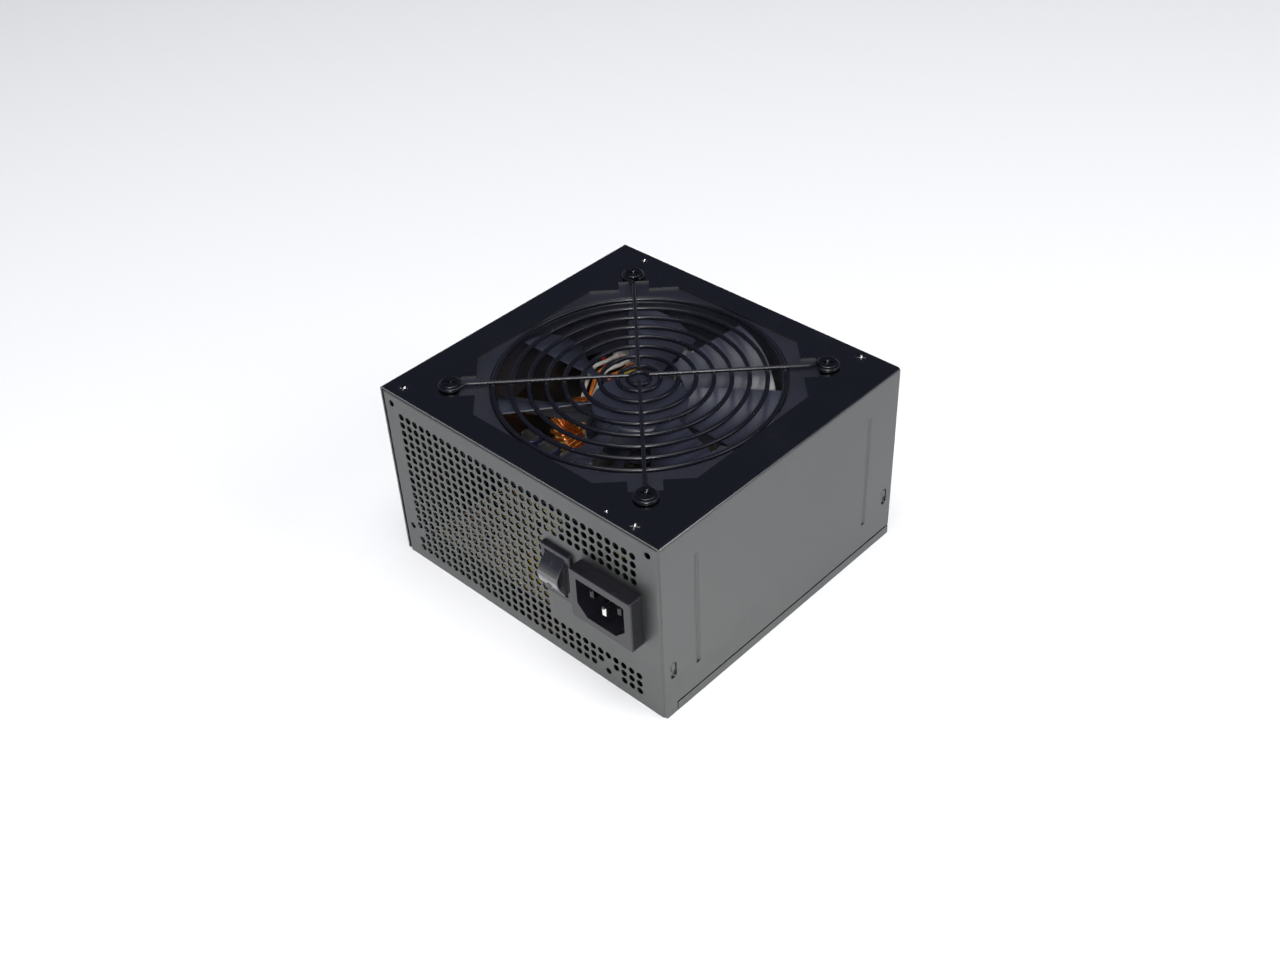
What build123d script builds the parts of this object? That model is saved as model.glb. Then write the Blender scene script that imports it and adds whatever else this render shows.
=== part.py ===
from build123d import *
import math
import os

# Desktop computer power supply with a top fan. Millimetres, +Z up, the fan on top.
# The origin is the middle of the bottom face. The mains inlet faces -Y.

# ---- driving dimensions -------------------------------------------------------------------
case_width = 150.0
case_depth = 140.0
case_height = 86.0
sheet = 0.8
bend = 1.5  # outside radius of a folded edge
flange = 9.0  # width of the folded flanges that the cover is screwed to

# cover
cover_inside = case_width / 2 - sheet
opening_square = 118.0
opening_corner = 64.5  # from the fan's axis to each cut corner
notch_reach, notch_width = 70.6, 13.0
dimple_place = (47.4, -67.3)
lip_height = 4.4
seam_gap = 0.8
seam_start = -63.4
cover_screw_places = [(-66.0, -65.0), (60.0, -66.4), (59.0, 66.0), (-58.0, 65.4)]
cover_screw_head_r = 2.75
cover_screw_r = 1.45
bead_y = 51.4
bead_low, bead_high = 17.0, 72.0
latch_y = 65.2
latch_z = 23.2

# rear panel
grille_pitch = 4.05
grille_columns, grille_rows = 32, 18
grille_left, grille_bottom = -64.0, 6.6
grille_hole_r = 1.52
blank_left, blank_low, blank_high = 15.0, 16.5, 62.0
mount_hole_r = 1.45
mount_collar_r = 2.5
mount_collar_length = 1.4
mount_holes = [(-69.0, 80.0), (69.0, 80.0), (-69.0, 16.0), (45.0, 6.0)]

# mains inlet
inlet_x, inlet_z = 49.6, 46.0
inlet_width, inlet_height, inlet_proud = 31.4, 24.0, 6.2
inlet_body_width, inlet_body_height, inlet_body_depth = 27.0, 19.8, 12.5
inlet_mouth_width, inlet_mouth_height, inlet_mouth_chamfer = 24.2, 17.0, 4.8
inlet_mouth_depth = 16.0

# rocker switch
switch_x, switch_z = 22.3, 45.0
bezel_width, bezel_height, bezel_proud = 15.4, 24.0, 2.0
switch_body_width, switch_body_height, switch_body_depth = 13.0, 21.0, 13.0
window_width, window_height = 11.0, 19.5
rocker_width, rocker_half_length = 10.6, 8.8
rocker_ridge, rocker_rest_angle = 10.0, 9.0
pivot_inset = 3.0  # the rocker's pivot lies this far behind the panel's face
trunnion_r, trunnion_gap = 1.0, 0.05

# cable outlet in the front panel
outlet_x, outlet_z = -22.0, 47.0
outlet_width, outlet_height, outlet_round = 34.0, 22.0, 6.0
grommet_wall, grommet_lip, grommet_lip_depth = 2.4, 2.0, 2.0

# fan
fan_side, fan_depth, fan_bore_r = 120.0, 25.0, 58.0
fan_hole_spacing, fan_hole_r = 105.0, 2.15
fan_flange = 4.0
fan_top = case_height - sheet
fan_bottom = fan_top - fan_depth
hub_r, blade_tip_r, blade_count = 20.0, 56.6, 7
hub_bottom, hub_top = fan_bottom + 5.2, fan_bottom + 14.2  # a shallow hub, sunk below the blades' tops
blade_top = fan_top - 1.6
blade_sections = [(17, 13.6, 51, 0), (36, 22, 38, -3.0), (60, 38, 25.5, -10.5)]  # radius, chord, pitch, sweep
first_blade_angle = 28.0
shaft_r, bush_gap = 1.5, 0.03
stator_bottom, stator_top = fan_bottom + 5.2, fan_bottom + 11.2  # over the windings

# wire guard
ring_count, ring_first_r, ring_pitch, inner_ring_r = 8, 8.5, 7.0, 4.3
ring_wire_r, arm_wire_r = 0.95, 0.85
eyelet_r = 4.1

# circuit board
board_bottom, board_thickness = 6.4, 1.6
board_top = board_bottom + board_thickness
board_left, board_right, board_rear, board_front = -66.0, 66.0, -61.0, 62.0
board_screw_places = [(-61.0, -56.0), (61.0, -56.0), (-39.5, 57.5), (61.0, 57.0)]

rear = -case_depth / 2
front = case_depth / 2
top = case_height


# ---- small helpers ------------------------------------------------------------------------
def block(x0, x1, y0, y1, z0, z1):
    """A box given by its two corners."""
    return Pos((x0 + x1) / 2, (y0 + y1) / 2, (z0 + z1) / 2) * Box(x1 - x0, y1 - y0, z1 - z0)


def rod(x, y, z0, z1, r):
    """An upright cylinder."""
    return Pos(x, y, (z0 + z1) / 2) * Cylinder(r, z1 - z0)


def rod_y(x, z, y0, y1, r):
    """A cylinder along Y."""
    return Pos(x, (y0 + y1) / 2, z) * Rot(90, 0, 0) * Cylinder(r, y1 - y0)


def rod_x(y, z, x0, x1, r):
    """A cylinder along X."""
    return Pos((x0 + x1) / 2, y, z) * Rot(0, 90, 0) * Cylinder(r, x1 - x0)


def pipe(x, y, z0, z1, r_out, r_in):
    """An upright tube."""
    return rod(x, y, z0, z1, r_out) - rod(x, y, z0, z1, r_in)


def panel_prism(outline, y0, y1):
    """A flat outline in X and Z, filled from y0 to y1."""
    plane = Plane(origin=(0, y1, 0), x_dir=(1, 0, 0), z_dir=(0, -1, 0))
    return extrude(plane * outline, y1 - y0)


def phillips(x, y, z, reach, depth):
    """The cross recess of a screw whose head's top is at z."""
    arm = 0.32 * reach
    bar = Box(2 * reach, arm, depth) + Box(arm, 2 * reach, depth)
    return Pos(x, y, z - depth / 2) * Rot(0, 0, 30) * bar


def lead(points, radius, wire_r=0.9):
    """An insulated lead along straight runs joined by arcs."""
    route = FilletPolyline(*points, radius=radius)
    return sweep(Plane(origin=route @ 0, z_dir=route % 0) * Circle(wire_r), path=route)


# ---- folded sheet-metal case --------------------------------------------------------------
def folded_end(facing):
    """An end panel with flanges at its sides and top. facing is -1 for the rear, 1 for the front."""
    half, high = cover_inside, case_height - sheet
    outer = block(-half, half, 0, flange, 0, high)
    inner = block(-half + sheet, half - sheet, sheet, flange + 1, -1, high - sheet)
    outer = fillet(folded_edges(outer), bend)
    inner = fillet(folded_edges(inner), bend - sheet)
    pan = Pos(0, rear, 0) * (outer - inner)
    return pan if facing < 0 else Rot(0, 0, 180) * pan


def folded_edges(solid):
    """The two upright edges and the top edge of a block's face at the lowest Y."""
    face = solid.faces().sort_by(Axis.Y)[0]
    return face.edges().sort_by(Axis.Z)[1:]


def grille_places():
    """Centres of the grille's holes, clear of the blank field and of the threaded holes."""
    places = []
    for column in range(grille_columns):
        for row in range(grille_rows):
            x = grille_left + grille_pitch * column
            z = grille_bottom + grille_pitch * row
            in_blank = x > blank_left and blank_low < z < blank_high
            near_mount = any(math.hypot(x - mx, z - mz) < 5.2 for mx, mz in mount_holes)
            if not (in_blank or near_mount):
                places.append((x, z))
    return places


def grille_cutter():
    """All the grille's holes, as one group of short rods."""
    holes = Sketch() + [Pos(x, z) * Circle(grille_hole_r) for x, z in grille_places()]
    return panel_prism(Plane.XY * holes, rear - 1, rear + sheet + 1)


def screw_holes(panel):
    """Pilot holes and countersinks of the cover screws, in the flanges."""
    for x, y in cover_screw_places:
        panel -= cover_screw_cone(x, y) + rod(x, y, 80, top, cover_screw_r + 0.05)
    return panel


def rear_panel():
    """Panel with the grille, the inlet, the switch and the four threaded mounting holes."""
    panel = folded_end(-1)
    panel -= block(-case_width, case_width, rear + sheet, rear + flange + 1, -1, sheet)
    for x, z in mount_holes:
        panel += rod_y(x, z, rear + sheet / 2, rear + sheet + mount_collar_length, mount_collar_r)
    for x, z in mount_holes:
        panel -= rod_y(x, z, rear - 1, rear + sheet + mount_collar_length + 1, mount_hole_r)
    panel -= grille_cutter()
    for x, z, width, height in (
        (inlet_x, inlet_z, inlet_body_width, inlet_body_height),
        (switch_x, switch_z, switch_body_width, switch_body_height),
    ):
        panel -= Pos(x, rear, z) * Box(width + 0.2, 6, height + 0.2)
    for side in (-1, 1):
        panel += latch_tab(side, -latch_y)
    return screw_holes(panel)


def chassis_tray():
    """Floor and front panel, folded from one sheet, with a low lip along each side."""
    half = case_width / 2
    floor = block(-half, half, rear + sheet, front, 0, sheet)
    for side in (-1, 1):
        outer, inner = side * half, side * (half - sheet)
        floor += block(min(outer, inner), max(outer, inner), seam_start, front, 0, lip_height)
    low_edges = floor.edges().filter_by(Axis.Y).filter_by(
        lambda e: e.center().Z < 0.01 and abs(abs(e.center().X) - half) < 0.01 and e.length > 50
    )
    tray = fillet(low_edges, 0.35) + folded_end(1)
    outlet = Pos(outlet_x, outlet_z) * RectangleRounded(outlet_width, outlet_height, outlet_round)
    tray -= panel_prism(outlet, front - 3, front + 1)
    for column in range(2):
        for row in range(9):
            slot = Pos(18 + 32 * column, 17 + 7.5 * row) * SlotOverall(24, 3.0)
            tray -= panel_prism(slot, front - 3, front + 1)
    for x, y in board_screw_places:
        tray -= rod(x, y, -1, 2, 1.3)
    for side in (-1, 1):
        tray += latch_tab(side, latch_y)
    return screw_holes(tray)


def latch_tab(side, y):
    """The pressed tab on a flange, which sits in the cover's slot."""
    x = side * (cover_inside + 0.25)
    tab = Pos(x, y, latch_z + 1.6) * Box(0.9, 2.2, 3.4)
    outer_edges = tab.edges().filter_by(lambda e: side * e.center().X > cover_inside + 0.6)
    return fillet(outer_edges, 0.3)


def cover_screw_cone(x, y):
    """The countersink under a cover screw's head."""
    depth = cover_screw_head_r - cover_screw_r
    return Pos(x, y, top - depth / 2) * Cone(cover_screw_r, cover_screw_head_r, depth)


def top_cover():
    """Top and both sides, folded from one sheet, with the fan opening."""
    half = case_width / 2
    joggle_low, edge = 1.2, lip_height + seam_gap
    outer = block(-half, half, rear, front, edge, top)
    inner = block(-cover_inside, cover_inside, rear - 1, front + 1, edge - 1, top - sheet)
    outer = fillet(long_top_edges(outer), bend)
    cover = outer - inner
    for side in (-1, 1):
        face, behind = side * cover_inside, side * (cover_inside - sheet)
        hem = block(
            min(face, behind), max(face, behind), rear + flange + 0.5, front - flange - 0.5, joggle_low, edge + 1.2
        )
        step = block(
            min(side * half, behind), max(side * half, behind), rear + flange + 0.5, front - flange - 0.5, edge, edge + sheet
        )
        foot = block(
            min(side * half, face), max(side * half, face), rear, seam_start - 0.4, sheet, edge
        )
        cover += hem + step + foot
    cover -= extrude(Pos(0, 0, top - 2) * fan_opening(), 4)
    cover -= Pos(*dimple_place, top + 0.7) * Sphere(1.25)
    for sx in (-1, 1):
        for sy in (-1, 1):
            cover -= rod(sx * fan_hole_spacing / 2, sy * fan_hole_spacing / 2, top - 2, top + 1, 2.35)
    for x, y in cover_screw_places:
        cover -= cover_screw_cone(x, y) + rod(x, y, 80, top, cover_screw_r + 0.05)
    for side in (-1, 1):
        for y in (-latch_y, latch_y):
            slot = Pos(side * half, y, latch_z) * Rot(0, 90, 0) * extrude(
                SlotOverall(8.0, 3.2), 2, both=True
            )
            cover -= slot
        for y in (-bead_y, bead_y):
            middle = (bead_low + bead_high) / 2
            bead = Pos(side * (half + 0.62), y, middle) * Cylinder(1.35, bead_high - bead_low)
            cover -= bead
    return cover


def fan_opening():
    """Square outline with its corners cut off, and a notch under each arm of the guard."""
    outline = Rectangle(opening_square, opening_square)
    outline &= Rot(0, 0, 45) * Rectangle(2 * opening_corner, 2 * opening_corner)
    for angle in (45, 135):
        outline += Rot(0, 0, angle) * Rectangle(2 * notch_reach, notch_width)
    return outline


def long_top_edges(solid):
    """The two edges along Y of a block's top face."""
    return solid.faces().sort_by(Axis.Z)[-1].edges().filter_by(Axis.Y)


def cover_screws():
    """Four countersunk screws that hold the cover."""
    screws = []
    for x, y in cover_screw_places:
        screw = cover_screw_cone(x, y) + rod(x, y, top - 6.5, top - 1, cover_screw_r)
        screws.append(screw - phillips(x, y, top, 1.75, 0.8))
    return Compound(children=screws)


# ---- fan ----------------------------------------------------------------------------------
def fan_frame():
    """Square frame, round bore, four struts and the motor's seat."""
    plate = extrude(RectangleRounded(fan_side, fan_side, 5), fan_flange)
    frame = Pos(0, 0, fan_bottom) * plate + Pos(0, 0, fan_top - fan_flange) * plate
    frame += rod(0, 0, fan_bottom, fan_top, fan_bore_r + 1.7)
    frame -= rod(0, 0, fan_bottom - 1, fan_top + 1, fan_bore_r)
    flare = Pos(0, 0, fan_top - 1.0) * Cone(fan_bore_r, fan_bore_r + 1.2, 2.0)
    frame -= flare
    for sx in (-1, 1):
        for sy in (-1, 1):
            x, y = sx * fan_hole_spacing / 2, sy * fan_hole_spacing / 2
            frame -= rod(x, y, fan_bottom - 1, fan_top + 1, fan_hole_r)
    seat = rod(0, 0, fan_bottom, fan_bottom + 2, 22.5)
    for angle in (25, 115, 205, 295):
        seat += Rot(0, 0, angle) * block(20, fan_bore_r + 1, -2.2, 2.2, fan_bottom, fan_bottom + 4)
    frame += seat + rod(0, 0, fan_bottom, fan_bottom + 9.2, 5.0)
    frame -= rod(0, 0, fan_bottom + 1.2, fan_bottom + 10, 3.5)
    return frame


def blade():
    """One swept and twisted blade, from the hub to the tip, in the fan's own heights."""
    sections = []
    for r, chord, pitch, sweep in blade_sections:
        half, thick, camber = chord / 2, 0.8, chord * 0.07
        upper = ThreePointArc((-half, 0), (0, camber + thick), (half, 0.0))
        lower = ThreePointArc((half, -0.5), (0, camber - thick), (-half, -0.5))
        ends = [Line(upper @ 1, lower @ 0), Line(lower @ 1, upper @ 0)]
        face = make_face([upper, lower, *ends])
        plane = Plane(origin=(r, sweep, fan_bottom + 14.6), x_dir=(0, 1, 0), z_dir=(1, 0, 0))
        sections.append(plane * Rot(0, 0, pitch) * face)
    return loft(sections)


def fan_impeller():
    """Hub cup with its blades."""
    cup = rod(0, 0, hub_bottom, hub_top, hub_r) - rod(0, 0, hub_bottom - 1, hub_top - 1.6, hub_r - 1.5)
    cup = fillet(cup.edges().group_by(Axis.Z)[-1], 1.2)
    ring = pipe(0, 0, hub_bottom, blade_top, blade_tip_r, hub_r - 0.7)
    swept = blade() & ring
    swept -= rod(0, 0, hub_top - 1.6, blade_top + 1, hub_r - 0.01)
    blades = [Rot(0, 0, first_blade_angle + 360 / blade_count * i) * swept for i in range(blade_count)]
    boss = rod(0, 0, hub_top - 4.6, hub_top - 1, 3.4) - rod(0, 0, hub_top - 5, hub_top - 1.8, shaft_r)
    return cup + blades + boss


def fan_rotor_magnet():
    """Ring magnet inside the hub cup."""
    return pipe(0, 0, hub_bottom + 0.9, hub_top - 1.6, hub_r - 1.5, 15.6)


def fan_shaft():
    """Steel shaft pressed into the impeller's boss, with a groove for its clip."""
    shaft = rod(0, 0, fan_bottom + 1.6, hub_top - 1.8, shaft_r)
    groove = pipe(0, 0, fan_bottom + 2.2, fan_bottom + 2.6, shaft_r + 1, shaft_r - 0.4)
    return shaft - groove


def fan_shaft_clip():
    """Split ring in the shaft's groove."""
    ring = pipe(0, 0, fan_bottom + 2.25, fan_bottom + 2.55, 2.9, shaft_r - 0.4)
    return ring - block(0, 4, -0.6, 0.6, fan_bottom + 2, fan_bottom + 3)


def fan_bush():
    """Sleeve bearing pressed into the frame's tube."""
    return pipe(0, 0, fan_bottom + 3.4, fan_bottom + 9.0, 3.5, shaft_r + bush_gap)


def fan_stator():
    """Laminated core with four wound poles on the bearing tube."""
    low, high = stator_bottom, stator_top
    core = pipe(0, 0, low + 1.6, high - 1.6, 7.4, 5.0)
    for quarter in range(4):
        pole = block(6.5, 12.6, -2.2, 2.2, low + 1.6, high - 1.6)
        shoe = pipe(0, 0, low + 1.6, high - 1.6, 14.6, 12.4) & block(0, 20, -7.4, 7.4, 0, 100)
        core += Rot(0, 0, 90 * quarter) * (pole + shoe)
    return core


def fan_coils():
    """The four windings around the stator's poles."""
    low, high = stator_bottom, stator_top
    coils = []
    for quarter in range(4):
        coil = block(7.9, 11.3, -4.3, 4.3, low, high)
        coil = fillet(coil.edges().filter_by(Axis.X), 1.3)
        coil -= block(7, 13, -2.25, 2.25, low + 1.55, high - 1.55)
        coils.append(Rot(0, 0, 90 * quarter) * coil)
    return Compound(children=coils)


def fan_motor_board():
    """Ring-shaped circuit board under the stator."""
    return pipe(0, 0, fan_bottom + 3.6, fan_bottom + 4.6, 15.0, 5.05)


def fan_guard():
    """Nine wire rings spot-welded under four arms; each arm ends in an eyelet on the cover."""
    arm_z = top + arm_wire_r
    ring_z = arm_z - arm_wire_r - ring_wire_r
    eye_distance = fan_hole_spacing / 2 * math.sqrt(2)
    radii = [inner_ring_r] + [ring_first_r + ring_pitch * k for k in range(ring_count)]
    wires = [Pos(0, 0, ring_z) * Torus(r, ring_wire_r) for r in radii]
    arm = rod_x(0, arm_z, inner_ring_r - 0.5, eye_distance - eyelet_r + 0.3, arm_wire_r)
    arm += Pos(eye_distance, 0, arm_z) * Torus(eyelet_r, arm_wire_r)
    wires += [Rot(0, 0, 45 + 90 * quarter) * arm for quarter in range(4)]
    return Compound(children=wires)


def fan_screws():
    """Four countersunk screws that sit in the guard's eyelets and hold the fan."""
    low, screws = top + 0.1, []
    for sx in (-1, 1):
        for sy in (-1, 1):
            x, y = sx * fan_hole_spacing / 2, sy * fan_hole_spacing / 2
            head = Pos(x, y, low + 0.9) * Cone(2.1, 3.9, 1.8) + rod(x, y, low + 1.8, low + 2.2, 3.9)
            head = fillet(head.edges().group_by(Axis.Z)[-1], 0.3)
            screw = head + rod(x, y, low - 11, low + 0.5, 2.1)
            screws.append(screw - phillips(x, y, low + 2.2, 2.2, 1.2))
    return Compound(children=screws)


# ---- mains inlet and switch ---------------------------------------------------------------
def inlet_body():
    """Socket housing that stands out of the rear panel."""
    flange_block = block(
        inlet_x - inlet_width / 2,
        inlet_x + inlet_width / 2,
        rear - inlet_proud,
        rear,
        inlet_z - inlet_height / 2,
        inlet_z + inlet_height / 2,
    )
    flange_block = fillet(flange_block.edges().filter_by(Axis.Y), 1.0)
    flange_block = fillet(flange_block.faces().sort_by(Axis.Y)[0].edges(), 0.5)
    body = flange_block + block(
        inlet_x - inlet_body_width / 2,
        inlet_x + inlet_body_width / 2,
        rear,
        rear + inlet_body_depth,
        inlet_z - inlet_body_height / 2,
        inlet_z + inlet_body_height / 2,
    )
    w, h, c = inlet_mouth_width / 2, inlet_mouth_height / 2, inlet_mouth_chamfer
    mouth = make_face(Polyline((-w, h), (w, h), (w, c - h), (w - c, -h), (c - w, -h), (-w, c - h), close=True))
    mouth = fillet(mouth.vertices(), 0.8)
    face = rear - inlet_proud
    body -= panel_prism(Pos(inlet_x, inlet_z) * mouth, face - 1, face + inlet_mouth_depth)
    for x, z in pin_places():
        body -= pin_block(x, z, 1.0, 2.0, face + 2, rear + inlet_body_depth + 1)
    return body


def pin_places():
    """Line, earth and neutral, from left to right."""
    return [(inlet_x - 7, inlet_z + 2), (inlet_x, inlet_z - 2), (inlet_x + 7, inlet_z + 2)]


def pin_block(x, z, half_width, half_height, y0, y1):
    """A flat contact along Y."""
    return block(x - half_width, x + half_width, y0, y1, z - half_height, z + half_height)


def inlet_pins():
    """Three contact blades with solder tabs behind."""
    pins = []
    for i, (x, z) in enumerate(pin_places()):
        tip = rear - inlet_proud + (1.4 if i == 1 else 2.4)
        back = rear + inlet_body_depth
        pin = pin_block(x, z, 1.0, 2.0, tip, back)
        pin = chamfer(pin.faces().sort_by(Axis.Y)[0].edges(), 0.55)
        pins.append(pin + pin_block(x, z, 0.4, 2.0, back, back + 7))
    return Compound(children=pins)


def switch_housing():
    """Bezel and box of the rocker switch."""
    bezel = block(
        switch_x - bezel_width / 2,
        switch_x + bezel_width / 2,
        rear - bezel_proud,
        rear,
        switch_z - bezel_height / 2,
        switch_z + bezel_height / 2,
    )
    bezel = fillet(bezel.edges().filter_by(Axis.Y), 0.8)
    bezel = chamfer(bezel.faces().sort_by(Axis.Y)[0].edges(), 0.5)
    housing = bezel + block(
        switch_x - switch_body_width / 2,
        switch_x + switch_body_width / 2,
        rear,
        rear + switch_body_depth,
        switch_z - switch_body_height / 2,
        switch_z + switch_body_height / 2,
    )
    housing -= block(
        switch_x - window_width / 2,
        switch_x + window_width / 2,
        rear - bezel_proud - 1,
        rear + switch_body_depth - 1.2,
        switch_z - window_height / 2,
        switch_z + window_height / 2,
    )
    housing -= rod_x(
        rear + pivot_inset,
        switch_z,
        switch_x - window_width / 2 - 0.7,
        switch_x + window_width / 2 + 0.7,
        trunnion_r + trunnion_gap,
    )
    for z in (switch_z - 6, switch_z + 6):
        housing -= pin_block(switch_x, z, 0.4, 2.4, rear + 10, rear + 20)
    return housing


def switch_rocker():
    """Roof-shaped rocker, tilted to one end of its travel."""
    e, skirt = rocker_half_length, 3.2
    left_face = ThreePointArc((-e, 5.0), (-e / 2 - 0.3, 8.3), (-1.0, rocker_ridge))
    right_face = ThreePointArc((1.0, rocker_ridge), (e / 2 + 0.3, 8.3), (e, 5.0))
    ridge = Line(left_face @ 1, right_face @ 0)
    under = Polyline((e, 5.0), (e - 0.6, skirt), (3.0, -2.6), (-3.0, -2.6), (0.6 - e, skirt), (-e, 5.0))
    profile = make_face([left_face, ridge, right_face, *under.edges()])
    side_plane = Plane(origin=(0, 0, 0), x_dir=(0, 0, 1), z_dir=(1, 0, 0))
    solid = extrude(side_plane * profile, rocker_width / 2, both=True)
    solid = fillet(solid.edges().filter_by(Axis.X).sort_by(Axis.Y)[:2], 1.4)
    rim = [edge for edge in solid.edges() if abs(abs(edge.center().X) - rocker_width / 2) < 0.01]
    solid = chamfer([edge for edge in rim if edge.center().Y < -6], 0.35)
    solid += Rot(0, 90, 0) * Cylinder(trunnion_r, window_width + 1.2)
    return Pos(switch_x, rear + pivot_inset, switch_z) * Rot(-rocker_rest_angle, 0, 0) * solid


def switch_terminals():
    """Two flat tabs behind the switch."""
    tabs = []
    for z in (switch_z - 6, switch_z + 6):
        tabs.append(pin_block(switch_x, z, 0.4, 2.4, rear + switch_body_depth - 1.2, rear + switch_body_depth + 7))
    return Compound(children=tabs)


def cable_grommet():
    """Plastic bush snapped into the cable outlet."""

    def ring(extra):
        return Pos(outlet_x, outlet_z) * RectangleRounded(
            outlet_width + 2 * extra, outlet_height + 2 * extra, outlet_round + extra
        )

    lip_inner, lip_outer = front - sheet - grommet_lip_depth, front + grommet_lip_depth
    grommet = panel_prism(ring(-0.1), lip_inner, lip_outer)
    grommet += panel_prism(ring(grommet_lip), front, lip_outer)
    grommet += panel_prism(ring(grommet_lip * 0.6), lip_inner, front - sheet)
    grommet = fillet(grommet.faces().sort_by(Axis.Y)[-1].edges(), 0.9)
    return grommet - panel_prism(ring(-grommet_wall), lip_inner - 1, lip_outer + 1)


# ---- main board and what stands on it -----------------------------------------------------
def main_board():
    """Printed circuit board with its fixing holes."""
    board = block(board_left, board_right, board_rear, board_front, board_bottom, board_top)
    for x, y in board_screw_places:
        board -= rod(x, y, 0, 20, 1.7)
    return board


def board_standoffs():
    """Four hexagonal pillars on the floor."""
    pillars = []
    for x, y in board_screw_places:
        pillar = Pos(x, y, sheet) * extrude(RegularPolygon(3.0, 6), board_bottom - sheet)
        pillars.append(pillar - rod(x, y, 0, 20, 1.3))
    return Compound(children=pillars)


def board_screws():
    """Four pan-head screws that hold the board down."""
    screws = []
    for x, y in board_screw_places:
        head = rod(x, y, board_top, board_top + 1.8, 2.8)
        head = fillet(head.edges().group_by(Axis.Z)[-1], 0.8)
        screw = head + rod(x, y, board_top - 6, board_top + 0.5, 1.25)
        screws.append(screw - phillips(x, y, board_top + 1.8, 1.7, 1.0))
    return Compound(children=screws)


def insulating_sheet():
    """Thin plastic film between the floor and the solder side."""
    film = block(board_left, board_right, board_rear + 4, board_front - 4, 1.2, 1.6)
    for x, y in board_screw_places:
        film -= block(x - 6, x + 6, y - 6, y + 6, 0, 3)
    return film


def finned_heatsink(x, y0, y1, high, toward):
    """Upright aluminium plate with bent fingers along its top; toward is the side they lean to."""
    plate = block(x - 1.5, x + 1.5, y0, y1, board_top, high)
    finger_count = 7
    pitch = (y1 - y0) / finger_count
    for i in range(finger_count):
        y = y0 + pitch * i
        side = toward if i % 2 == 0 else -toward
        reach = x + side * 9.5
        plate += block(min(x, reach), max(x, reach), y + 0.8, y + pitch - 0.8, high - 2, high)
    for z in (board_top + 26, board_top + 34):
        rib = x + toward * 5.5
        plate += block(min(x, rib), max(x, rib), y0, y1, z, z + 1.6)
    return plate


primary_sink_x, secondary_sink_x = 28.0, -22.0
primary_transistor_y = [-12.0, 21.0]
secondary_rectifier_y = [2.0, 20.0, 38.0]


def primary_heatsink():
    """Heatsink of the switching transistors."""
    sink = finned_heatsink(primary_sink_x, -20, 50, 54, -1)
    for y in primary_transistor_y:
        sink -= rod_x(y, board_top + 19, primary_sink_x - 3, primary_sink_x + 3, 1.45)
    return sink


def secondary_heatsink():
    """Heatsink of the output rectifiers."""
    sink = finned_heatsink(secondary_sink_x, -10, 52, 54, 1)
    for y in secondary_rectifier_y:
        sink -= rod_x(y, board_top + 19, secondary_sink_x - 3, secondary_sink_x + 3, 1.45)
    return sink


def tab_package(sink_face, side, y):
    """Flat power package against a heatsink, with three legs down to the board."""
    x0, x1 = sorted((sink_face, sink_face + side * 4.4))
    base = board_top + 4
    body = block(x0, x1, y - 5.1, y + 5.1, base, base + 19)
    body -= rod_x(y, board_top + 19, x0 - 1, x1 + 1, 1.6)
    for leg in (-2.5, 0, 2.5):
        mid = sink_face + side * 2.2
        body += block(mid - 0.3, mid + 0.3, y + leg - 0.5, y + leg + 0.5, board_top, base + 0.5)
    return body


def primary_transistors():
    """Two transistors on the primary heatsink."""
    return Compound(children=[tab_package(primary_sink_x + 1.5, 1, y) for y in primary_transistor_y])


def secondary_rectifiers():
    """Three rectifiers on the secondary heatsink."""
    return Compound(children=[tab_package(secondary_sink_x - 1.5, -1, y) for y in secondary_rectifier_y])


def heatsink_screws():
    """Screws that clamp the power packages to their heatsinks."""
    screws = []
    for x, side, places in (
        (primary_sink_x, 1, primary_transistor_y),
        (secondary_sink_x, -1, secondary_rectifier_y),
    ):
        for y in places:
            head_low = x + side * (1.5 + 4.4)
            head_high = head_low + side * 2.0
            shank_end = x - side * 2.2
            screw = rod_x(y, board_top + 19, min(head_low, head_high), max(head_low, head_high), 2.7)
            screw += rod_x(y, board_top + 19, min(shank_end, head_low), max(shank_end, head_low), 1.4)
            screws.append(screw)
    return Compound(children=screws)


def ferrite_core(x, y, width, depth, height):
    """E-shaped ferrite core: two outer legs along X joined over and under the winding."""
    z0 = board_top + 3
    outer = block(x - width / 2, x + width / 2, y - depth / 4, y + depth / 4, z0, z0 + height)
    outer = chamfer(outer.edges().filter_by(Axis.Y), 0.8)
    window = block(
        x - width * 0.32, x + width * 0.32, y - depth, y + depth, z0 + height * 0.2, z0 + height * 0.8
    )
    return outer - window


def taped_winding(x, y, width, depth, height):
    """Rounded winding wrapped in tape, through the core's window, on a bobbin with pin rows."""
    z0 = board_top + 3
    low, high = z0 + height * 0.2 + 0.1, z0 + height * 0.8 - 0.1
    body = block(x - width * 0.32 + 0.1, x + width * 0.32 - 0.1, y - depth / 2, y + depth / 2, low, high)
    return fillet(body.edges().filter_by(Axis.Z), 3.0)


def bobbin(x, y, width, depth):
    """Two plinths with pins, which carry a transformer on the board."""
    plinths = []
    for side in (-1, 1):
        edge = y + side * depth * 0.4
        plinth = block(x - width * 0.45, x + width * 0.45, edge - 3, edge + 3, board_top + 0.4, board_top + 2.9)
        for i in range(5):
            px = x + width * 0.18 * (i - 2)
            plinth += rod(px, edge, board_top, board_top + 1, 0.5)
        plinths.append(plinth)
    return plinths


main_transformer = dict(x=4.0, y=34.0, width=36.0, depth=36.0, height=34.0)
standby_transformer = dict(x=6.0, y=-6.0, width=21.0, depth=22.0, height=20.0)
transformers = (main_transformer, standby_transformer)


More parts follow.
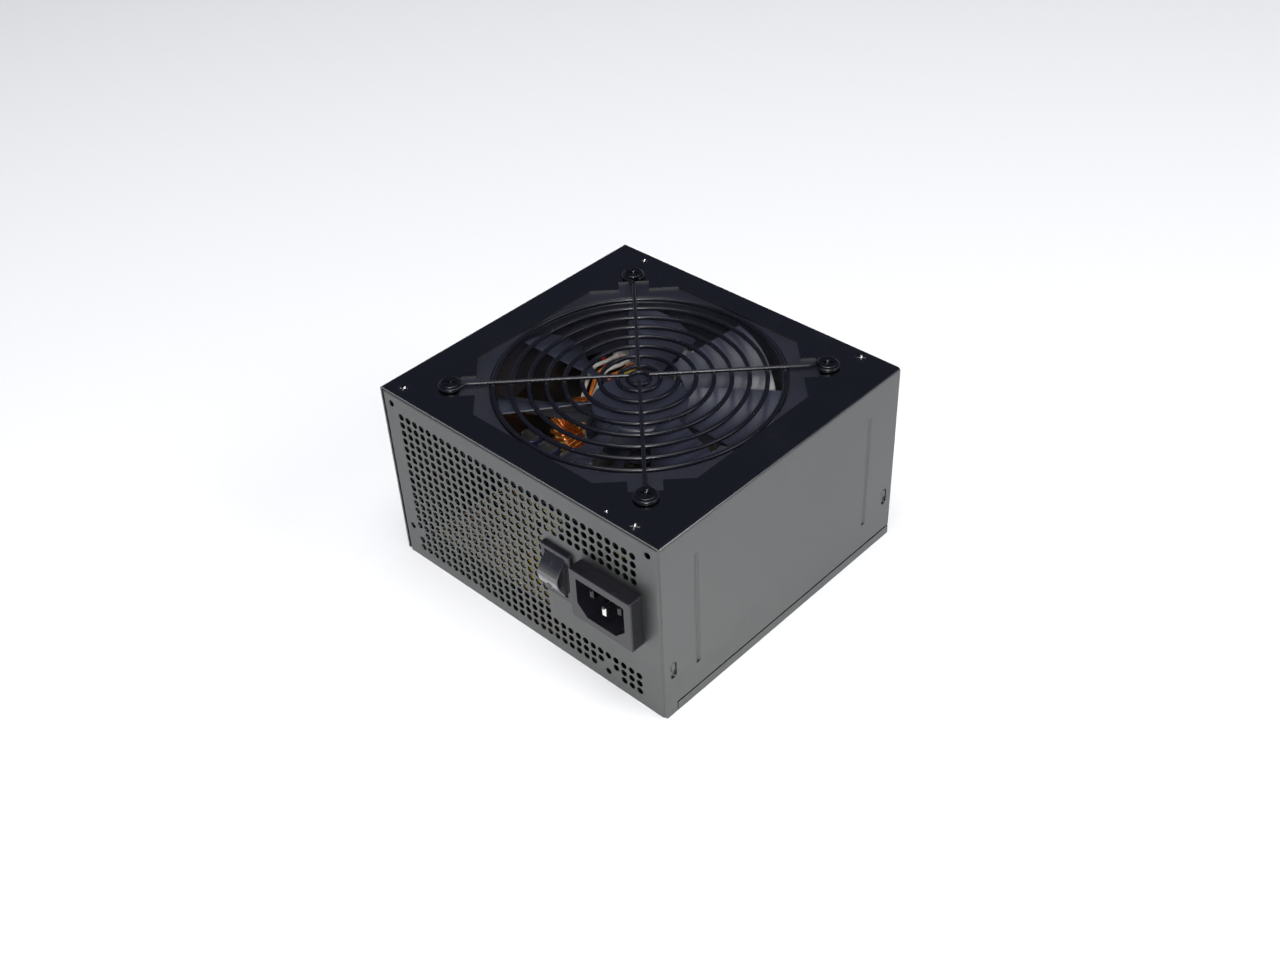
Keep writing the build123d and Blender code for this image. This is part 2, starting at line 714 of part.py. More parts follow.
def transformer_cores():
    """Ferrite cores of the main and the standby transformer."""
    return Compound(children=[ferrite_core(**t) for t in transformers])


def transformer_windings():
    """Taped windings of both transformers."""
    return Compound(children=[taped_winding(**t) for t in transformers])


def transformer_bobbins():
    """Bobbin plinths of both transformers."""
    plinths = []
    for t in transformers:
        plinths += bobbin(t["x"], t["y"], t["width"], t["depth"])
    return Compound(children=plinths)


def can_capacitor(x, y, r, height):
    """Upright can with a crimp groove and a scored top."""
    can = rod(x, y, board_top + 0.3, board_top + height, r)
    can = fillet(can.edges().group_by(Axis.Z)[-1], min(1.0, r * 0.15))
    can -= Pos(x, y, board_top + 2.6) * Torus(r + 0.25, 0.7)
    return can + rod(x, y, board_top, board_top + 0.6, r * 0.7)


def bulk_capacitors():
    """Two large reservoir capacitors."""
    return Compound(children=[can_capacitor(50, y, 14.5, 40) for y in (5.0, 37.0)])


output_can_places = [(-62, -6), (-50, -7), (-38, -6), (-34.5, 27.5), (-35, 38.5), (-35, 49.5), (-46, 41)]


def output_capacitors():
    """Small output smoothing capacitors."""
    return Compound(children=[can_capacitor(x, y, 5.0, 22) for x, y in output_can_places])


choke_x, choke_y, choke_z, choke_r = -50.0, 14.0, board_top + 16.5, 11.0


def output_choke_core():
    """Powder-iron ring, standing on edge."""
    ring = Cylinder(choke_r + 3.2, 11) - Cylinder(choke_r - 3.2, 12)
    return Pos(choke_x, choke_y, choke_z) * Rot(90, 0, 0) * fillet(ring.edges().filter_by(GeomType.CIRCLE), 0.9)


def output_choke_winding():
    """Turns of thick enamelled wire round the ring, as separate hoops."""
    hoops = []
    turn_count, wire = 22, 0.85
    for i in range(turn_count):
        outline = RectangleRounded(6.4 + 2 * wire + 0.1, 11 + 2 * wire + 0.1, 1.4)
        path = outline.wires()[0]
        hoop = sweep(Plane(origin=path @ 0, z_dir=path % 0) * Circle(wire - 0.02), path=path)
        place = Pos(choke_x, choke_y, choke_z) * Rot(90, 0, 0) * Rot(0, 0, 360 / turn_count * (i + 0.5))
        hoops.append(place * Pos(choke_r, 0, 0) * Rot(90, 0, 0) * hoop)
    return Compound(children=hoops)


def output_choke_base():
    """Plastic foot that the ring stands on."""
    foot = block(choke_x - 11, choke_x + 11, choke_y - 8, choke_y + 8, board_top, board_top + 4)
    return foot - Pos(choke_x, choke_y, choke_z) * Rot(90, 0, 0) * Cylinder(choke_r + 5.2, 40)


filter_choke = dict(x=48.0, y=-40.0)


def line_filter_core():
    """Square ferrite frame of the mains filter choke."""
    x, y = filter_choke["x"], filter_choke["y"]
    frame = block(x - 13, x + 13, y - 3.5, y + 3.5, board_top + 3, board_top + 23)
    return frame - block(x - 8.6, x + 8.6, y - 5, y + 5, board_top + 7.4, board_top + 18.6)


def line_filter_windings():
    """Two copper windings on the choke's upper and lower limbs."""
    x, y = filter_choke["x"], filter_choke["y"]
    windings = []
    for z in (board_top + 5.2, board_top + 20.8):
        coil = block(x - 8.2, x + 8.2, y - 6, y + 6, z - 4.6, z + 4.6)
        coil = fillet(coil.edges().filter_by(Axis.X), 2.5)
        windings.append(coil - block(x - 20, x + 20, y - 3.55, y + 3.55, z - 2.25, z + 2.25))
    return Compound(children=windings)


def film_capacitors():
    """Two box capacitors across the mains and one on the primary side."""
    boxes = [(22, -50, 18, 9, 15), (20, -33, 18, 8, 14), (-6, -52, 15, 8, 13)]
    solids = []
    for x, y, w, d, h in boxes:
        body = block(x - w / 2, x + w / 2, y - d / 2, y + d / 2, board_top, board_top + h)
        solids.append(fillet(body.edges().filter_by(Axis.Z) + body.faces().sort_by(Axis.Z)[-1].edges(), 0.7))
    return Compound(children=solids)


fuse_x, fuse_y = 44.0, -55.5


def fuse():
    """Glass tube fuse with metal end caps, lying in its clips."""
    z = board_top + 4.4
    return rod_x(fuse_y, z, fuse_x - 10, fuse_x + 10, 2.5)


def fuse_clips():
    """Two spring clips that hold the fuse."""
    clips = []
    for x in (fuse_x - 7.6, fuse_x + 7.6):
        clip = block(x - 2, x + 2, fuse_y - 3.2, fuse_y + 3.2, board_top, board_top + 6)
        clip -= rod_x(fuse_y, board_top + 4.4, x - 3, x + 3, 2.5)
        clips.append(clip - block(x - 3, x + 3, fuse_y - 1.8, fuse_y + 1.8, board_top + 4, board_top + 8))
    return Compound(children=clips)


def disc(x, y, r, thick):
    """A small upright disc on two legs."""
    z = board_top + r + 2.5
    body = rod_y(x, z, y - thick / 2, y + thick / 2, r)
    body = fillet(body.edges(), thick * 0.35)
    for leg in (-2.5, 2.5):
        body += rod(x + leg, y, board_top, z - r * 0.5, 0.4)
    return body


def disc_parts():
    """Ceramic capacitors and the inrush thermistor."""
    places = [(3, -42, 4.2, 3.0), (-14, -34, 4.2, 3.0), (60, -24, 6.5, 4.2), (37, -22, 4.2, 3.0)]
    return Compound(children=[disc(*place) for place in places])


def bridge_rectifier():
    """Flat four-legged rectifier standing on edge."""
    x, y = 50.0, -18.0
    body = block(x - 11, x + 11, y - 2, y + 2, board_top + 3, board_top + 20)
    body = chamfer(body.edges().filter_by(Axis.Y).sort_by(Axis.X)[-1], 3.0)
    for leg in (-7.5, -2.5, 2.5, 7.5):
        body += block(x + leg - 0.6, x + leg + 0.6, y - 0.4, y + 0.4, board_top, board_top + 4)
    return body


card_y, card_left, card_right, card_low, card_high = -28.0, -22.0, 8.0, board_top, board_top + 24


def control_card():
    """Upright card with the switching controller."""
    return block(card_left, card_right, card_y - 0.8, card_y + 0.8, card_low, card_high)


def control_chips():
    """Two surface-mounted chips on the control card."""
    chips = []
    for x, w in ((-14, 10), (1, 8)):
        chip = block(x - w / 2, x + w / 2, card_y - 3.0, card_y - 0.8, card_low + 8, card_low + 14)
        chips.append(chamfer(chip.faces().sort_by(Axis.Y)[0].edges(), 0.4))
    return Compound(children=chips)


# ---- fan control card and inner leads -----------------------------------------------------
fan_card_y, fan_card_left, fan_card_right = 59.5, -67.0, -44.0
fan_card_low, fan_card_high = board_top, 50.0
plug_z = 41.0
lead_xs = [-64.0, -60.6, -57.2, -53.8, -50.4, -47.0]
header_y = 27.0


def fan_control_card():
    """Upright card near the front panel that sets the fan's speed."""
    return block(fan_card_left, fan_card_right, fan_card_y - 0.8, fan_card_y + 0.8, fan_card_low, fan_card_high)


def lead_plugs():
    """White plug housings at both ends of the control leads, and the fan's own plug."""
    left, right = lead_xs[0] - 2.0, lead_xs[-1] + 2.0
    on_board = block(left, right, header_y - 3, header_y + 3, board_top, board_top + 8)
    on_card = block(left, right, fan_card_y - 8.8, fan_card_y - 0.8, plug_z - 3, plug_z + 3)
    fan_plug = block(-66, -58, 43, 49, board_top, board_top + 8)
    return Compound(children=[on_board, on_card, fan_plug])


def control_lead(i):
    """One lead, from the plug on the main board up and over to the plug on the card."""
    x = lead_xs[i]
    droop = (0.0, 1.6, -1.2, 0.8, -0.6, 1.2)[i]
    height = plug_z + (0.4, -0.7, 0.9, -0.4, 0.6, -0.8)[i]
    points = [
        (x, header_y, board_top + 8),
        (x, header_y, 22),
        (x + droop * 0.25, header_y + 1.2 + droop * 0.4, 32),
        (x - droop * 0.2, header_y + 8, height + 1.5),
        (x + droop * 0.15, header_y + 16, height),
        (x, fan_card_y - 13.5, plug_z),
        (x, fan_card_y - 8.8, plug_z),
    ]
    return lead(points, arc_radii(points))


def arc_radii(points):
    """The largest arc that each corner's two runs allow."""
    radii = []
    for before, corner, after in zip(points, points[1:], points[2:]):
        run_in, run_out = Vector(corner) - Vector(before), Vector(after) - Vector(corner)
        turn = math.radians(run_in.get_angle(run_out))
        radii.append(0.45 * min(run_in.length, run_out.length) / math.tan(turn / 2))
    return radii


def fan_lead(offset):
    """One lead of the fan, from its frame's corner down to its plug."""
    points = [
        (-60.0, 50 + offset, fan_bottom + 2),
        (-64.0, 50 + offset, fan_bottom + 2),
        (-67.5 + offset * 0.2, 48.6 + offset, fan_bottom - 8),
        (-68.2 + offset * 0.3, 47.6 + offset, 40),
        (-65.6 + offset * 0.4, 46.4 + offset * 0.9, 28),
        (-62.5 + offset * 0.5, 46 + offset * 0.9, 21),
        (-62.5 + offset * 0.5, 46 + offset * 0.9, board_top + 8),
    ]
    return lead(points, arc_radii(points), 0.75)


def mains_lead(start, end):
    """A mains lead from a contact tab down to the board."""
    (x0, y0, z0), (x1, y1) = start, end
    points = [
        (x0, y0, z0),
        (x0, y0 + 3.5, z0),
        (x0 + (x1 - x0) * 0.3, y0 + 6.0, z0 - 5.5),
        (x0 + (x1 - x0) * 0.7, y0 + (y1 - y0) * 0.8 + 1.2, (z0 + board_top) / 2 + 1),
        (x1, y1, board_top + 8),
        (x1, y1, board_top),
    ]
    return lead(points, arc_radii(points), 1.1)


tab_end = rear + inlet_body_depth + 7
switch_tab_end = rear + switch_body_depth + 7


def brown_leads():
    """Line conductor: inlet to switch, and switch to board."""
    z = inlet_z + 2
    bridge = [
        (inlet_x - 7, tab_end, z),
        (inlet_x - 7, tab_end + 3.8, z),
        (inlet_x - 12, tab_end + 5.8, z + 0.6),
        (switch_x + 5.5, tab_end + 6.2, switch_z + 5.2),
        (switch_x, switch_tab_end + 3.8, switch_z + 6),
        (switch_x, switch_tab_end, switch_z + 6),
    ]
    down = mains_lead((switch_x, switch_tab_end, switch_z - 6), (33.0, -43.0))
    return Compound(children=[lead(bridge, arc_radii(bridge), 1.1), down])


def blue_lead():
    """Neutral conductor from the inlet to the board."""
    return mains_lead((inlet_x + 7, tab_end, inlet_z + 2), (63.5, -46.0))


def earth_lead():
    """Earth conductor from the inlet to the ring terminal on the floor."""
    points = [
        (inlet_x, tab_end, inlet_z - 2),
        (inlet_x, tab_end + 4.2, inlet_z - 2),
        (inlet_x + 3.5, tab_end + 8.0, inlet_z - 8.0),
        (inlet_x + 9.5, tab_end + 16.0, inlet_z - 9.0),
        (inlet_x + 16.0, tab_end + 17.0, inlet_z - 12.5),
        (70.2, -32.5, 24),
        (70.2, -34.0, 14),
        (70.2, -34.0, 6),
    ]
    return lead(points, arc_radii(points), 1.1)


def earth_terminal():
    """Ring terminal and its screw on the floor, beside the board."""
    x, y = 70.2, -38.0
    ring = rod(x, y, sheet, sheet + 0.8, 2.9) + block(x - 1.4, x + 1.4, y, y + 5.4, sheet, sheet + 0.8)
    ring += block(x - 1.4, x + 1.4, y + 2.6, y + 5.4, sheet, 6)
    screw = fillet(rod(x, y, sheet + 0.8, sheet + 2.6, 2.4).edges().group_by(Axis.Z)[-1], 0.7)
    return ring + screw


# ---- write one file for each named piece --------------------------------------------------
def main():
    nodes = {
        "chassis_tray": chassis_tray(),
        "rear_panel": rear_panel(),
        "top_cover": top_cover(),
        "cover_screws": cover_screws(),
        "fan_frame": fan_frame(),
        "fan_impeller": fan_impeller(),
        "fan_rotor_magnet": fan_rotor_magnet(),
        "fan_shaft": fan_shaft(),
        "fan_shaft_clip": fan_shaft_clip(),
        "fan_bush": fan_bush(),
        "fan_stator": fan_stator(),
        "fan_coils": fan_coils(),
        "fan_motor_board": fan_motor_board(),
        "fan_guard": fan_guard(),
        "fan_screws": fan_screws(),
        "inlet_body": inlet_body(),
        "inlet_pins": inlet_pins(),
        "switch_housing": switch_housing(),
        "switch_rocker": switch_rocker(),
        "switch_terminals": switch_terminals(),
        "cable_grommet": cable_grommet(),
        "main_board": main_board(),
        "board_standoffs": board_standoffs(),
        "board_screws": board_screws(),
        "insulating_sheet": insulating_sheet(),
        "primary_heatsink": primary_heatsink(),
        "secondary_heatsink": secondary_heatsink(),
        "primary_transistors": primary_transistors(),
        "secondary_rectifiers": secondary_rectifiers(),
        "heatsink_screws": heatsink_screws(),
        "transformer_cores": transformer_cores(),
        "transformer_windings": transformer_windings(),
        "transformer_bobbins": transformer_bobbins(),
        "bulk_capacitors": bulk_capacitors(),
        "output_capacitors": output_capacitors(),
        "output_choke_core": output_choke_core(),
        "output_choke_winding": output_choke_winding(),
        "output_choke_base": output_choke_base(),
        "line_filter_core": line_filter_core(),
        "line_filter_windings": line_filter_windings(),
        "film_capacitors": film_capacitors(),
        "fuse": fuse(),
        "fuse_clips": fuse_clips(),
        "disc_parts": disc_parts(),
        "bridge_rectifier": bridge_rectifier(),
        "control_card": control_card(),
        "control_chips": control_chips(),
        "fan_control_card": fan_control_card(),
        "lead_plugs": lead_plugs(),
        "white_leads": Compound(children=[control_lead(0), control_lead(2)]),
        "orange_leads": Compound(children=[control_lead(1), control_lead(3)]),
        "yellow_lead": control_lead(4),
        "red_leads": Compound(children=[control_lead(5), fan_lead(-1.2)]),
        "black_lead": fan_lead(1.2),
        "brown_leads": brown_leads(),
        "blue_lead": blue_lead(),
        "earth_lead": earth_lead(),
        "earth_terminal": earth_terminal(),
    }
    os.makedirs("parts", exist_ok=True)
    for name, shape in nodes.items():
        export_step(shape, f"parts/{name}.step")


main()
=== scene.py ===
import math

import bmesh
import bpy
from mathutils import Matrix, Vector, noise


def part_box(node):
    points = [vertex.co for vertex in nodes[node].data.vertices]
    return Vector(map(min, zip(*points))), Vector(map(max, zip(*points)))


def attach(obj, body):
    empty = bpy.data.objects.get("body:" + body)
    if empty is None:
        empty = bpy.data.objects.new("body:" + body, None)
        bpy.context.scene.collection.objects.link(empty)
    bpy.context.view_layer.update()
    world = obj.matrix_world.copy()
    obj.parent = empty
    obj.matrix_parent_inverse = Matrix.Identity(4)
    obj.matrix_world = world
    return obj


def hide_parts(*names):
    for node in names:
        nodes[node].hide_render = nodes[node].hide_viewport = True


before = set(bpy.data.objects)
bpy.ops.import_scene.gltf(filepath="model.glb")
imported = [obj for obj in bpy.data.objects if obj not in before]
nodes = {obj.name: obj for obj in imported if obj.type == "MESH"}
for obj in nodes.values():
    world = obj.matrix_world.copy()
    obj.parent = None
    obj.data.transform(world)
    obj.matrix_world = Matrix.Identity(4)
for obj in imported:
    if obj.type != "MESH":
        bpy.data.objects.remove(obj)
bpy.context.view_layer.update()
print("frame loaded,", len(nodes), "parts")

mm = 0.001


class Link:
    # a socket whose arithmetic adds Math nodes to its own tree
    def __init__(self, tree, socket):
        self.tree = tree
        self.socket = socket

    def math(self, operation, *values):
        return self.tree.add("ShaderNodeMath", {"operation": operation}, dict(enumerate(values)))

    def __add__(self, other):
        return self.math("ADD", self, other)

    def __radd__(self, other):
        return self.math("ADD", other, self)

    def __sub__(self, other):
        return self.math("SUBTRACT", self, other)

    def __rsub__(self, other):
        return self.math("SUBTRACT", other, self)

    def __mul__(self, other):
        return self.math("MULTIPLY", self, other)

    def __rmul__(self, other):
        return self.math("MULTIPLY", other, self)

    def __truediv__(self, other):
        return self.math("DIVIDE", self, other)

    def __rtruediv__(self, other):
        return self.math("DIVIDE", other, self)

    def __pow__(self, other):
        return self.math("POWER", self, other)

    def __rpow__(self, other):
        return self.math("POWER", other, self)

    def __mod__(self, other):
        return self.math("FLOORED_MODULO", self, other)

    def __rmod__(self, other):
        return self.math("FLOORED_MODULO", other, self)

    def __gt__(self, other):
        return self.math("GREATER_THAN", self, other)

    def __lt__(self, other):
        return self.math("LESS_THAN", self, other)

    def __or__(self, other):
        return self.math("MAXIMUM", self, other)

    def __ror__(self, other):
        return self.math("MAXIMUM", other, self)

    def __abs__(self):
        return self.math("ABSOLUTE", self)

    def ramp(self, low, high):
        # 0 below low, 1 above high, soft between
        settings = {"interpolation_type": "SMOOTHSTEP"}
        return self.tree.add("ShaderNodeMapRange", settings, {0: self, 1: low, 2: high})


class Tree:
    # builds nodes in one node tree
    def __init__(self, owner):
        owner.use_nodes = True
        self.owner = owner
        self.nodes, self.links = owner.node_tree.nodes, owner.node_tree.links
        self.nodes.clear()

    def add(self, kind, settings={}, values={}, out=0):
        node = self.nodes.new(kind)
        for key, value in settings.items():
            if key == "stops":
                self.setStops(node.color_ramp.elements, value)
            else:
                setattr(node, key, value)
        for key, value in values.items():
            if isinstance(value, Link):
                self.links.new(value.socket, node.inputs[key])
            elif isinstance(value, tuple) and node.inputs[key].type == "RGBA":
                node.inputs[key].default_value = (*value, 1)
            else:
                node.inputs[key].default_value = value
        return Link(self, node.outputs[out]) if len(node.outputs) else node

    def setStops(self, elements, stops):
        while len(elements) < len(stops):
            elements.new(0.5)
        for element, (position, colour) in zip(elements, stops):
            element.position, element.color = position, (*colour, 1)

    def split(self, vector):
        outputs = self.add("ShaderNodeSeparateXYZ", {}, {0: vector}).socket.node.outputs
        return [Link(self, output) for output in outputs]


class Finish(Tree):
    # one material
    def __init__(self, name):
        super().__init__(bpy.data.materials.new(name))
        self.place = self.add("ShaderNodeTexCoord", out="Object")
        self.x, self.y, self.z = self.split(self.place)

    def stretch(self, x, y, z):
        # the place with each axis multiplied, so that a pattern is drawn out
        return self.add("ShaderNodeVectorMath", {"operation": "MULTIPLY"}, {0: self.place, 1: (x, y, z)})

    def noise(self, scale, detail=2.0, rough=0.5, place=None):
        values = {"Vector": place or self.place, "Scale": scale, "Detail": detail, "Roughness": rough}
        return self.add("ShaderNodeTexNoise", {}, values)

    def cells(self, scale, feature="F1", distance="EUCLIDEAN", randomness=1.0):
        settings = {"feature": feature} if feature != "F1" else {"feature": feature, "distance": distance}
        values = {"Vector": self.place, "Scale": scale, "Randomness": randomness}
        return self.add("ShaderNodeTexVoronoi", settings, values)

    def blend(self, mask, first, second):
        return self.add("ShaderNodeMix", {"data_type": "RGBA"}, {0: mask, 6: first, 7: second}, 2)

    def facing(self):
        # the surface's own direction, as x, y and z
        return self.split(self.add("ShaderNodeNewGeometry", out="Normal"))

    def bump(self, height, depth):
        return self.add("ShaderNodeBump", {}, {"Height": height, "Distance": depth, "Strength": 1.0})

    def shade(self, **values):
        named = {key.replace("_", " "): value for key, value in values.items()}
        return self.add("ShaderNodeBsdfPrincipled", {}, named)

    def done(self, shader):
        self.add("ShaderNodeOutputMaterial", {}, {0: shader})
        return self.owner


def dress(material, *names):
    # gives parts of the frame a material
    for name in names:
        mesh = nodes[name].data
        mesh.materials.clear()
        mesh.materials.append(material)


def darker(colour, share):
    return tuple(c * share for c in colour)


def fullTurn(count):
    # angles evenly spaced round a circle
    return [2 * math.pi * k / count for k in range(count)]


# mesh making: lengths in mm, turned to metres when a piece is made
def addTube(bm, points, radius, sides=12, closed=False):
    # a round rod along points
    points = [Vector(p) for p in points]
    count = len(points)
    side, rings = None, []
    for i, point in enumerate(points):
        before = points[i - 1] if i or closed else point
        after = points[(i + 1) % count] if i < count - 1 or closed else point
        along = (after - before).normalized()
        side = side or along.orthogonal()
        side = (side - along * side.dot(along)).normalized()
        over = along.cross(side)
        outward = [side * math.cos(t) + over * math.sin(t) for t in fullTurn(sides)]
        rings.append([bm.verts.new(point + way * radius) for way in outward])
    for i in range(count if closed else count - 1):
        first, second = rings[i], rings[(i + 1) % count]
        joinRings(bm, first, second, nearestTurn(first, second) if i == count - 1 else 0)
    if not closed:
        bm.faces.new(reversed(rings[0]))
        bm.faces.new(rings[-1])


def nearestTurn(first, second):
    # how far the last ring of a closed tube is turned against the first
    distances = [(first[0].co - vertex.co).length for vertex in second]
    return distances.index(min(distances))


def joinRings(bm, first, second, turn=0):
    count = len(first)
    for k in range(count):
        after = (k + 1) % count
        bm.faces.new((first[k], first[after], second[(after + turn) % count], second[(k + turn) % count]))


def addLathe(bm, profile, matrix, sides):
    # turns a profile of (radius, height) about the matrix's z axis
    rings = []
    for radius, height in profile:
        ring = [Vector((radius * math.cos(t), radius * math.sin(t), height)) for t in fullTurn(sides)]
        rings.append([bm.verts.new(matrix @ point) for point in ring])
    for first, second in zip(rings, rings[1:]):
        joinRings(bm, first, second)
    bm.faces.new(reversed(rings[0]))
    bm.faces.new(rings[-1])


def addStrap(bm, outline, low, high, thick):
    # a closed band of the given thickness; outline holds (middle, outward) pairs, low and high are its edges
    corners = []
    for middle, outward in outline:
        inner, outer = Vector(middle), Vector(middle) + Vector(outward) * thick
        section = (inner + low, outer + low, outer + high, inner + high)
        corners.append([bm.verts.new(point) for point in section])
    for first, second in zip(corners, corners[1:] + corners[:1]):
        joinRings(bm, first, second)


def finishMesh(bm, name, sharpAngle=40):
    bmesh.ops.remove_doubles(bm, verts=bm.verts, dist=1e-4)
    bmesh.ops.recalc_face_normals(bm, faces=bm.faces)
    bmesh.ops.scale(bm, vec=(mm, mm, mm), verts=bm.verts)
    mesh = bpy.data.meshes.new(name)
    bm.to_mesh(mesh)
    bm.free()
    mesh.shade_smooth()
    mesh.set_sharp_from_angle(angle=math.radians(sharpAngle))
    return mesh


def makePiece(name, mesh, material, body, place=None):
    if not mesh.materials:
        mesh.materials.append(material)
    piece = bpy.data.objects.new(name, mesh)
    if place:
        piece.matrix_world = place
    bpy.context.scene.collection.objects.link(piece)
    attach(piece, body)
    return piece


# sheet metal
caseMetal = dict(
    base=(0.130, 0.134, 0.133),
    tint=(0.151, 0.154, 0.151),
    roughness=(0.15, 0.21),
    uprightRoughness=0.24,  # added on the upright faces, which are less polished
    smudge=0.10,  # how much duller the handled patches are
    waviness=0.010 * mm,
    dustTone=(0.30, 0.30, 0.29),
    dust=0.03,
)


def makeCaseMetal(s=caseMetal):
    f = Finish("blackNickelSheet")
    cloud = f.noise(9, 2)
    smudge = f.noise(30, 4, 0.6).ramp(0.5, 0.75) * cloud.ramp(0.4, 0.6)
    rolled = f.noise(1, 3, 0.6, f.stretch(1400, 40, 1400))  # fine lines of the rolled sheet
    orangePeel = f.noise(380, 2)
    lowRough, highRough = s["roughness"]
    speck = f.noise(1500, 2, 0.7).ramp(0.66, 0.74) * f.facing()[2].ramp(0.5, 0.9)
    colour = f.blend(cloud.ramp(0.3, 0.7) * 0.6 + rolled * 0.4, s["base"], s["tint"])
    colour = f.blend(speck * s["dust"], colour, s["dustTone"])
    upright = 1 - abs(f.facing()[2]).ramp(0.3, 0.8)
    roughness = rolled * (highRough - lowRough) + lowRough + smudge * s["smudge"] + speck * 0.1
    roughness = roughness + upright * s["uprightRoughness"]
    height = orangePeel * 0.6 + rolled * 0.4
    normal = f.bump(height, s["waviness"])
    return f.done(f.shade(Base_Color=colour, Roughness=roughness, Metallic=1.0, Normal=normal))


dress(makeCaseMetal(), "chassis_tray", "rear_panel", "top_cover")


# screws, plated black, with the cross painted bright as a painted glint
screws = dict(
    fan_screws=dict(
        name="blackScrew",
        dark=(0.06, 0.06, 0.07),
        bright=(0.22, 0.22, 0.22),
        recess=0.5 * mm,
    ),
    cover_screws=dict(
        name="countersunkScrew",
        dark=(0.10, 0.10, 0.11),
        bright=(0.95, 0.94, 0.92),
        recess=0.0,
    ),
)


def makeScrewMetal(node, s):
    f = Finish(s["name"])
    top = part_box(node)[1].z - s["recess"]
    wear = f.noise(900, 3, 0.6)
    cross = (1 - f.z.ramp(top - 0.35 * mm, top - 0.12 * mm)) * f.z.ramp(top - 6 * mm, top - 5.9 * mm)
    # painted glint: the cross below the head's top is blended towards the bright tone
    colour = f.blend(cross * 0.85 | wear.ramp(0.62, 0.72) * 0.3, s["dark"], s["bright"])
    roughness = f.noise(300, 3) * 0.15 + 0.2
    normal = f.bump(wear, 0.01 * mm)
    return f.done(f.shade(Base_Color=colour, Roughness=roughness, Metallic=1.0, Normal=normal))


for node, settings in screws.items():
    dress(makeScrewMetal(node, settings), node)
print("case and screws dressed")


# wire guard
guard = dict(
    ringRadii=[4.3] + [8.5 + 7 * k for k in range(8)],
    ringWire=0.95,
    armWire=0.85,
    eyeletRadius=4.1,
    eyeletPlace=52.5 * math.sqrt(2),  # of the screws, from the fan's axis
    bendLength=7.5,  # the arm leaves its line this far before the screw
    eyeletTurns=(140, -150),  # where the loop starts and ends
    nugget=[(0.02, -0.55), (0.7, -0.35), (0.98, 0), (0.7, 0.35), (0.02, 0.55)],
    nuggetDrop=0.02,
    coat=dict(dark=(0.003, 0.003, 0.006), light=(0.007, 0.007, 0.012), roughness=0.20),
)


def makeGuardCoat(s=guard["coat"]):
    f = Finish("blackWireCoat")
    drips = f.noise(160, 3, 0.55)
    chips = f.noise(1100, 2, 0.6).ramp(0.70, 0.74)
    colour = f.blend(drips, s["dark"], s["light"])
    colour = f.blend(chips * 0.5, colour, (0.10, 0.10, 0.10))
    shader = f.shade(
        Base_Color=colour,
        Roughness=drips * 0.10 + s["roughness"] + chips * 0.2,
        Normal=f.bump(f.noise(700, 2), 0.02 * mm),
        Specular_IOR_Level=0.3,
    )
    return f.done(shader)


def circlePoints(radius, z, count):
    return [(radius * math.cos(t), radius * math.sin(t), z) for t in fullTurn(count)]


def armPath(z, s=guard):
    # along the arm, out to one side and round the screw, ending beside the arm again
    radius, middle = s["eyeletRadius"], s["eyeletPlace"]
    start, bendStart = s["ringRadii"][0] - 0.2, middle - s["bendLength"]
    straightSteps, bendSteps, loopSteps = 6, 6, 30
    points = [(start + (bendStart - start) * i / straightSteps, 0, z) for i in range(straightSteps + 1)]
    firstTurn, lastTurn = (math.radians(turn) for turn in s["eyeletTurns"])
    end = (middle + radius * math.cos(firstTurn), radius * math.sin(firstTurn))
    cornerX = end[0] - end[1] * math.tan(math.pi - firstTurn)
    for i in range(1, bendSteps):
        t = i / bendSteps
        x = (1 - t) ** 2 * bendStart + 2 * t * (1 - t) * cornerX + t * t * end[0]
        points.append((x, t * t * end[1], z))
    for i in range(loopSteps + 1):
        turn = firstTurn + (lastTurn - firstTurn) * i / loopSteps
        points.append((middle + radius * math.cos(turn), radius * math.sin(turn), z))
    return points


def makeGuard(s=guard):
    bm = bmesh.new()
    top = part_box("top_cover")[1].z / mm
    ringHeight, armHeight = top - s["ringWire"], top + s["armWire"]
    for radius in s["ringRadii"]:
        addTube(bm, circlePoints(radius, ringHeight, 40 + int(radius * 2)), s["ringWire"], 14, closed=True)
    for quarter in range(4):
        turn = Matrix.Rotation(math.radians(45 + 90 * quarter), 4, "Z")
        addTube(bm, [turn @ Vector(p) for p in armPath(armHeight)], s["armWire"], 14)
        for radius in s["ringRadii"][1:]:
            crossing = turn @ Matrix.Translation((radius, 0, top - s["nuggetDrop"]))
            addLathe(bm, s["nugget"], crossing, 12)
    mesh = finishMesh(bm, "wireGuard")
    piece = makePiece("wireGuard", mesh, makeGuardCoat(), "case")
    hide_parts("fan_guard")


makeGuard()
print("wire guard made")


# plastics
plastics = dict(
    # dark and light tone, roughness, how fine and how deep the grain is, polish
    fanFrame=((0.007, 0.008, 0.014), (0.011, 0.012, 0.019), 0.46, 1500, 0.012, 0.0),
    fanBlades=((0.020, 0.022, 0.036), (0.027, 0.030, 0.047), 0.38, 900, 0.006, 0.0),
    inlet=((0.007, 0.007, 0.010), (0.011, 0.011, 0.014), 0.25, 1600, 0.012, 0.0),
    rocker=((0.012, 0.012, 0.015), (0.018, 0.018, 0.021), 0.20, 1300, 0.006, 0.75),
    bush=((0.022, 0.022, 0.023), (0.034, 0.034, 0.035), 0.5, 1100, 0.02, 0.0),
    resin=((0.018, 0.018, 0.019), (0.035, 0.034, 0.033), 0.55, 2200, 0.02, 0.0),
)
plasticDust = (0.20, 0.19, 0.18)


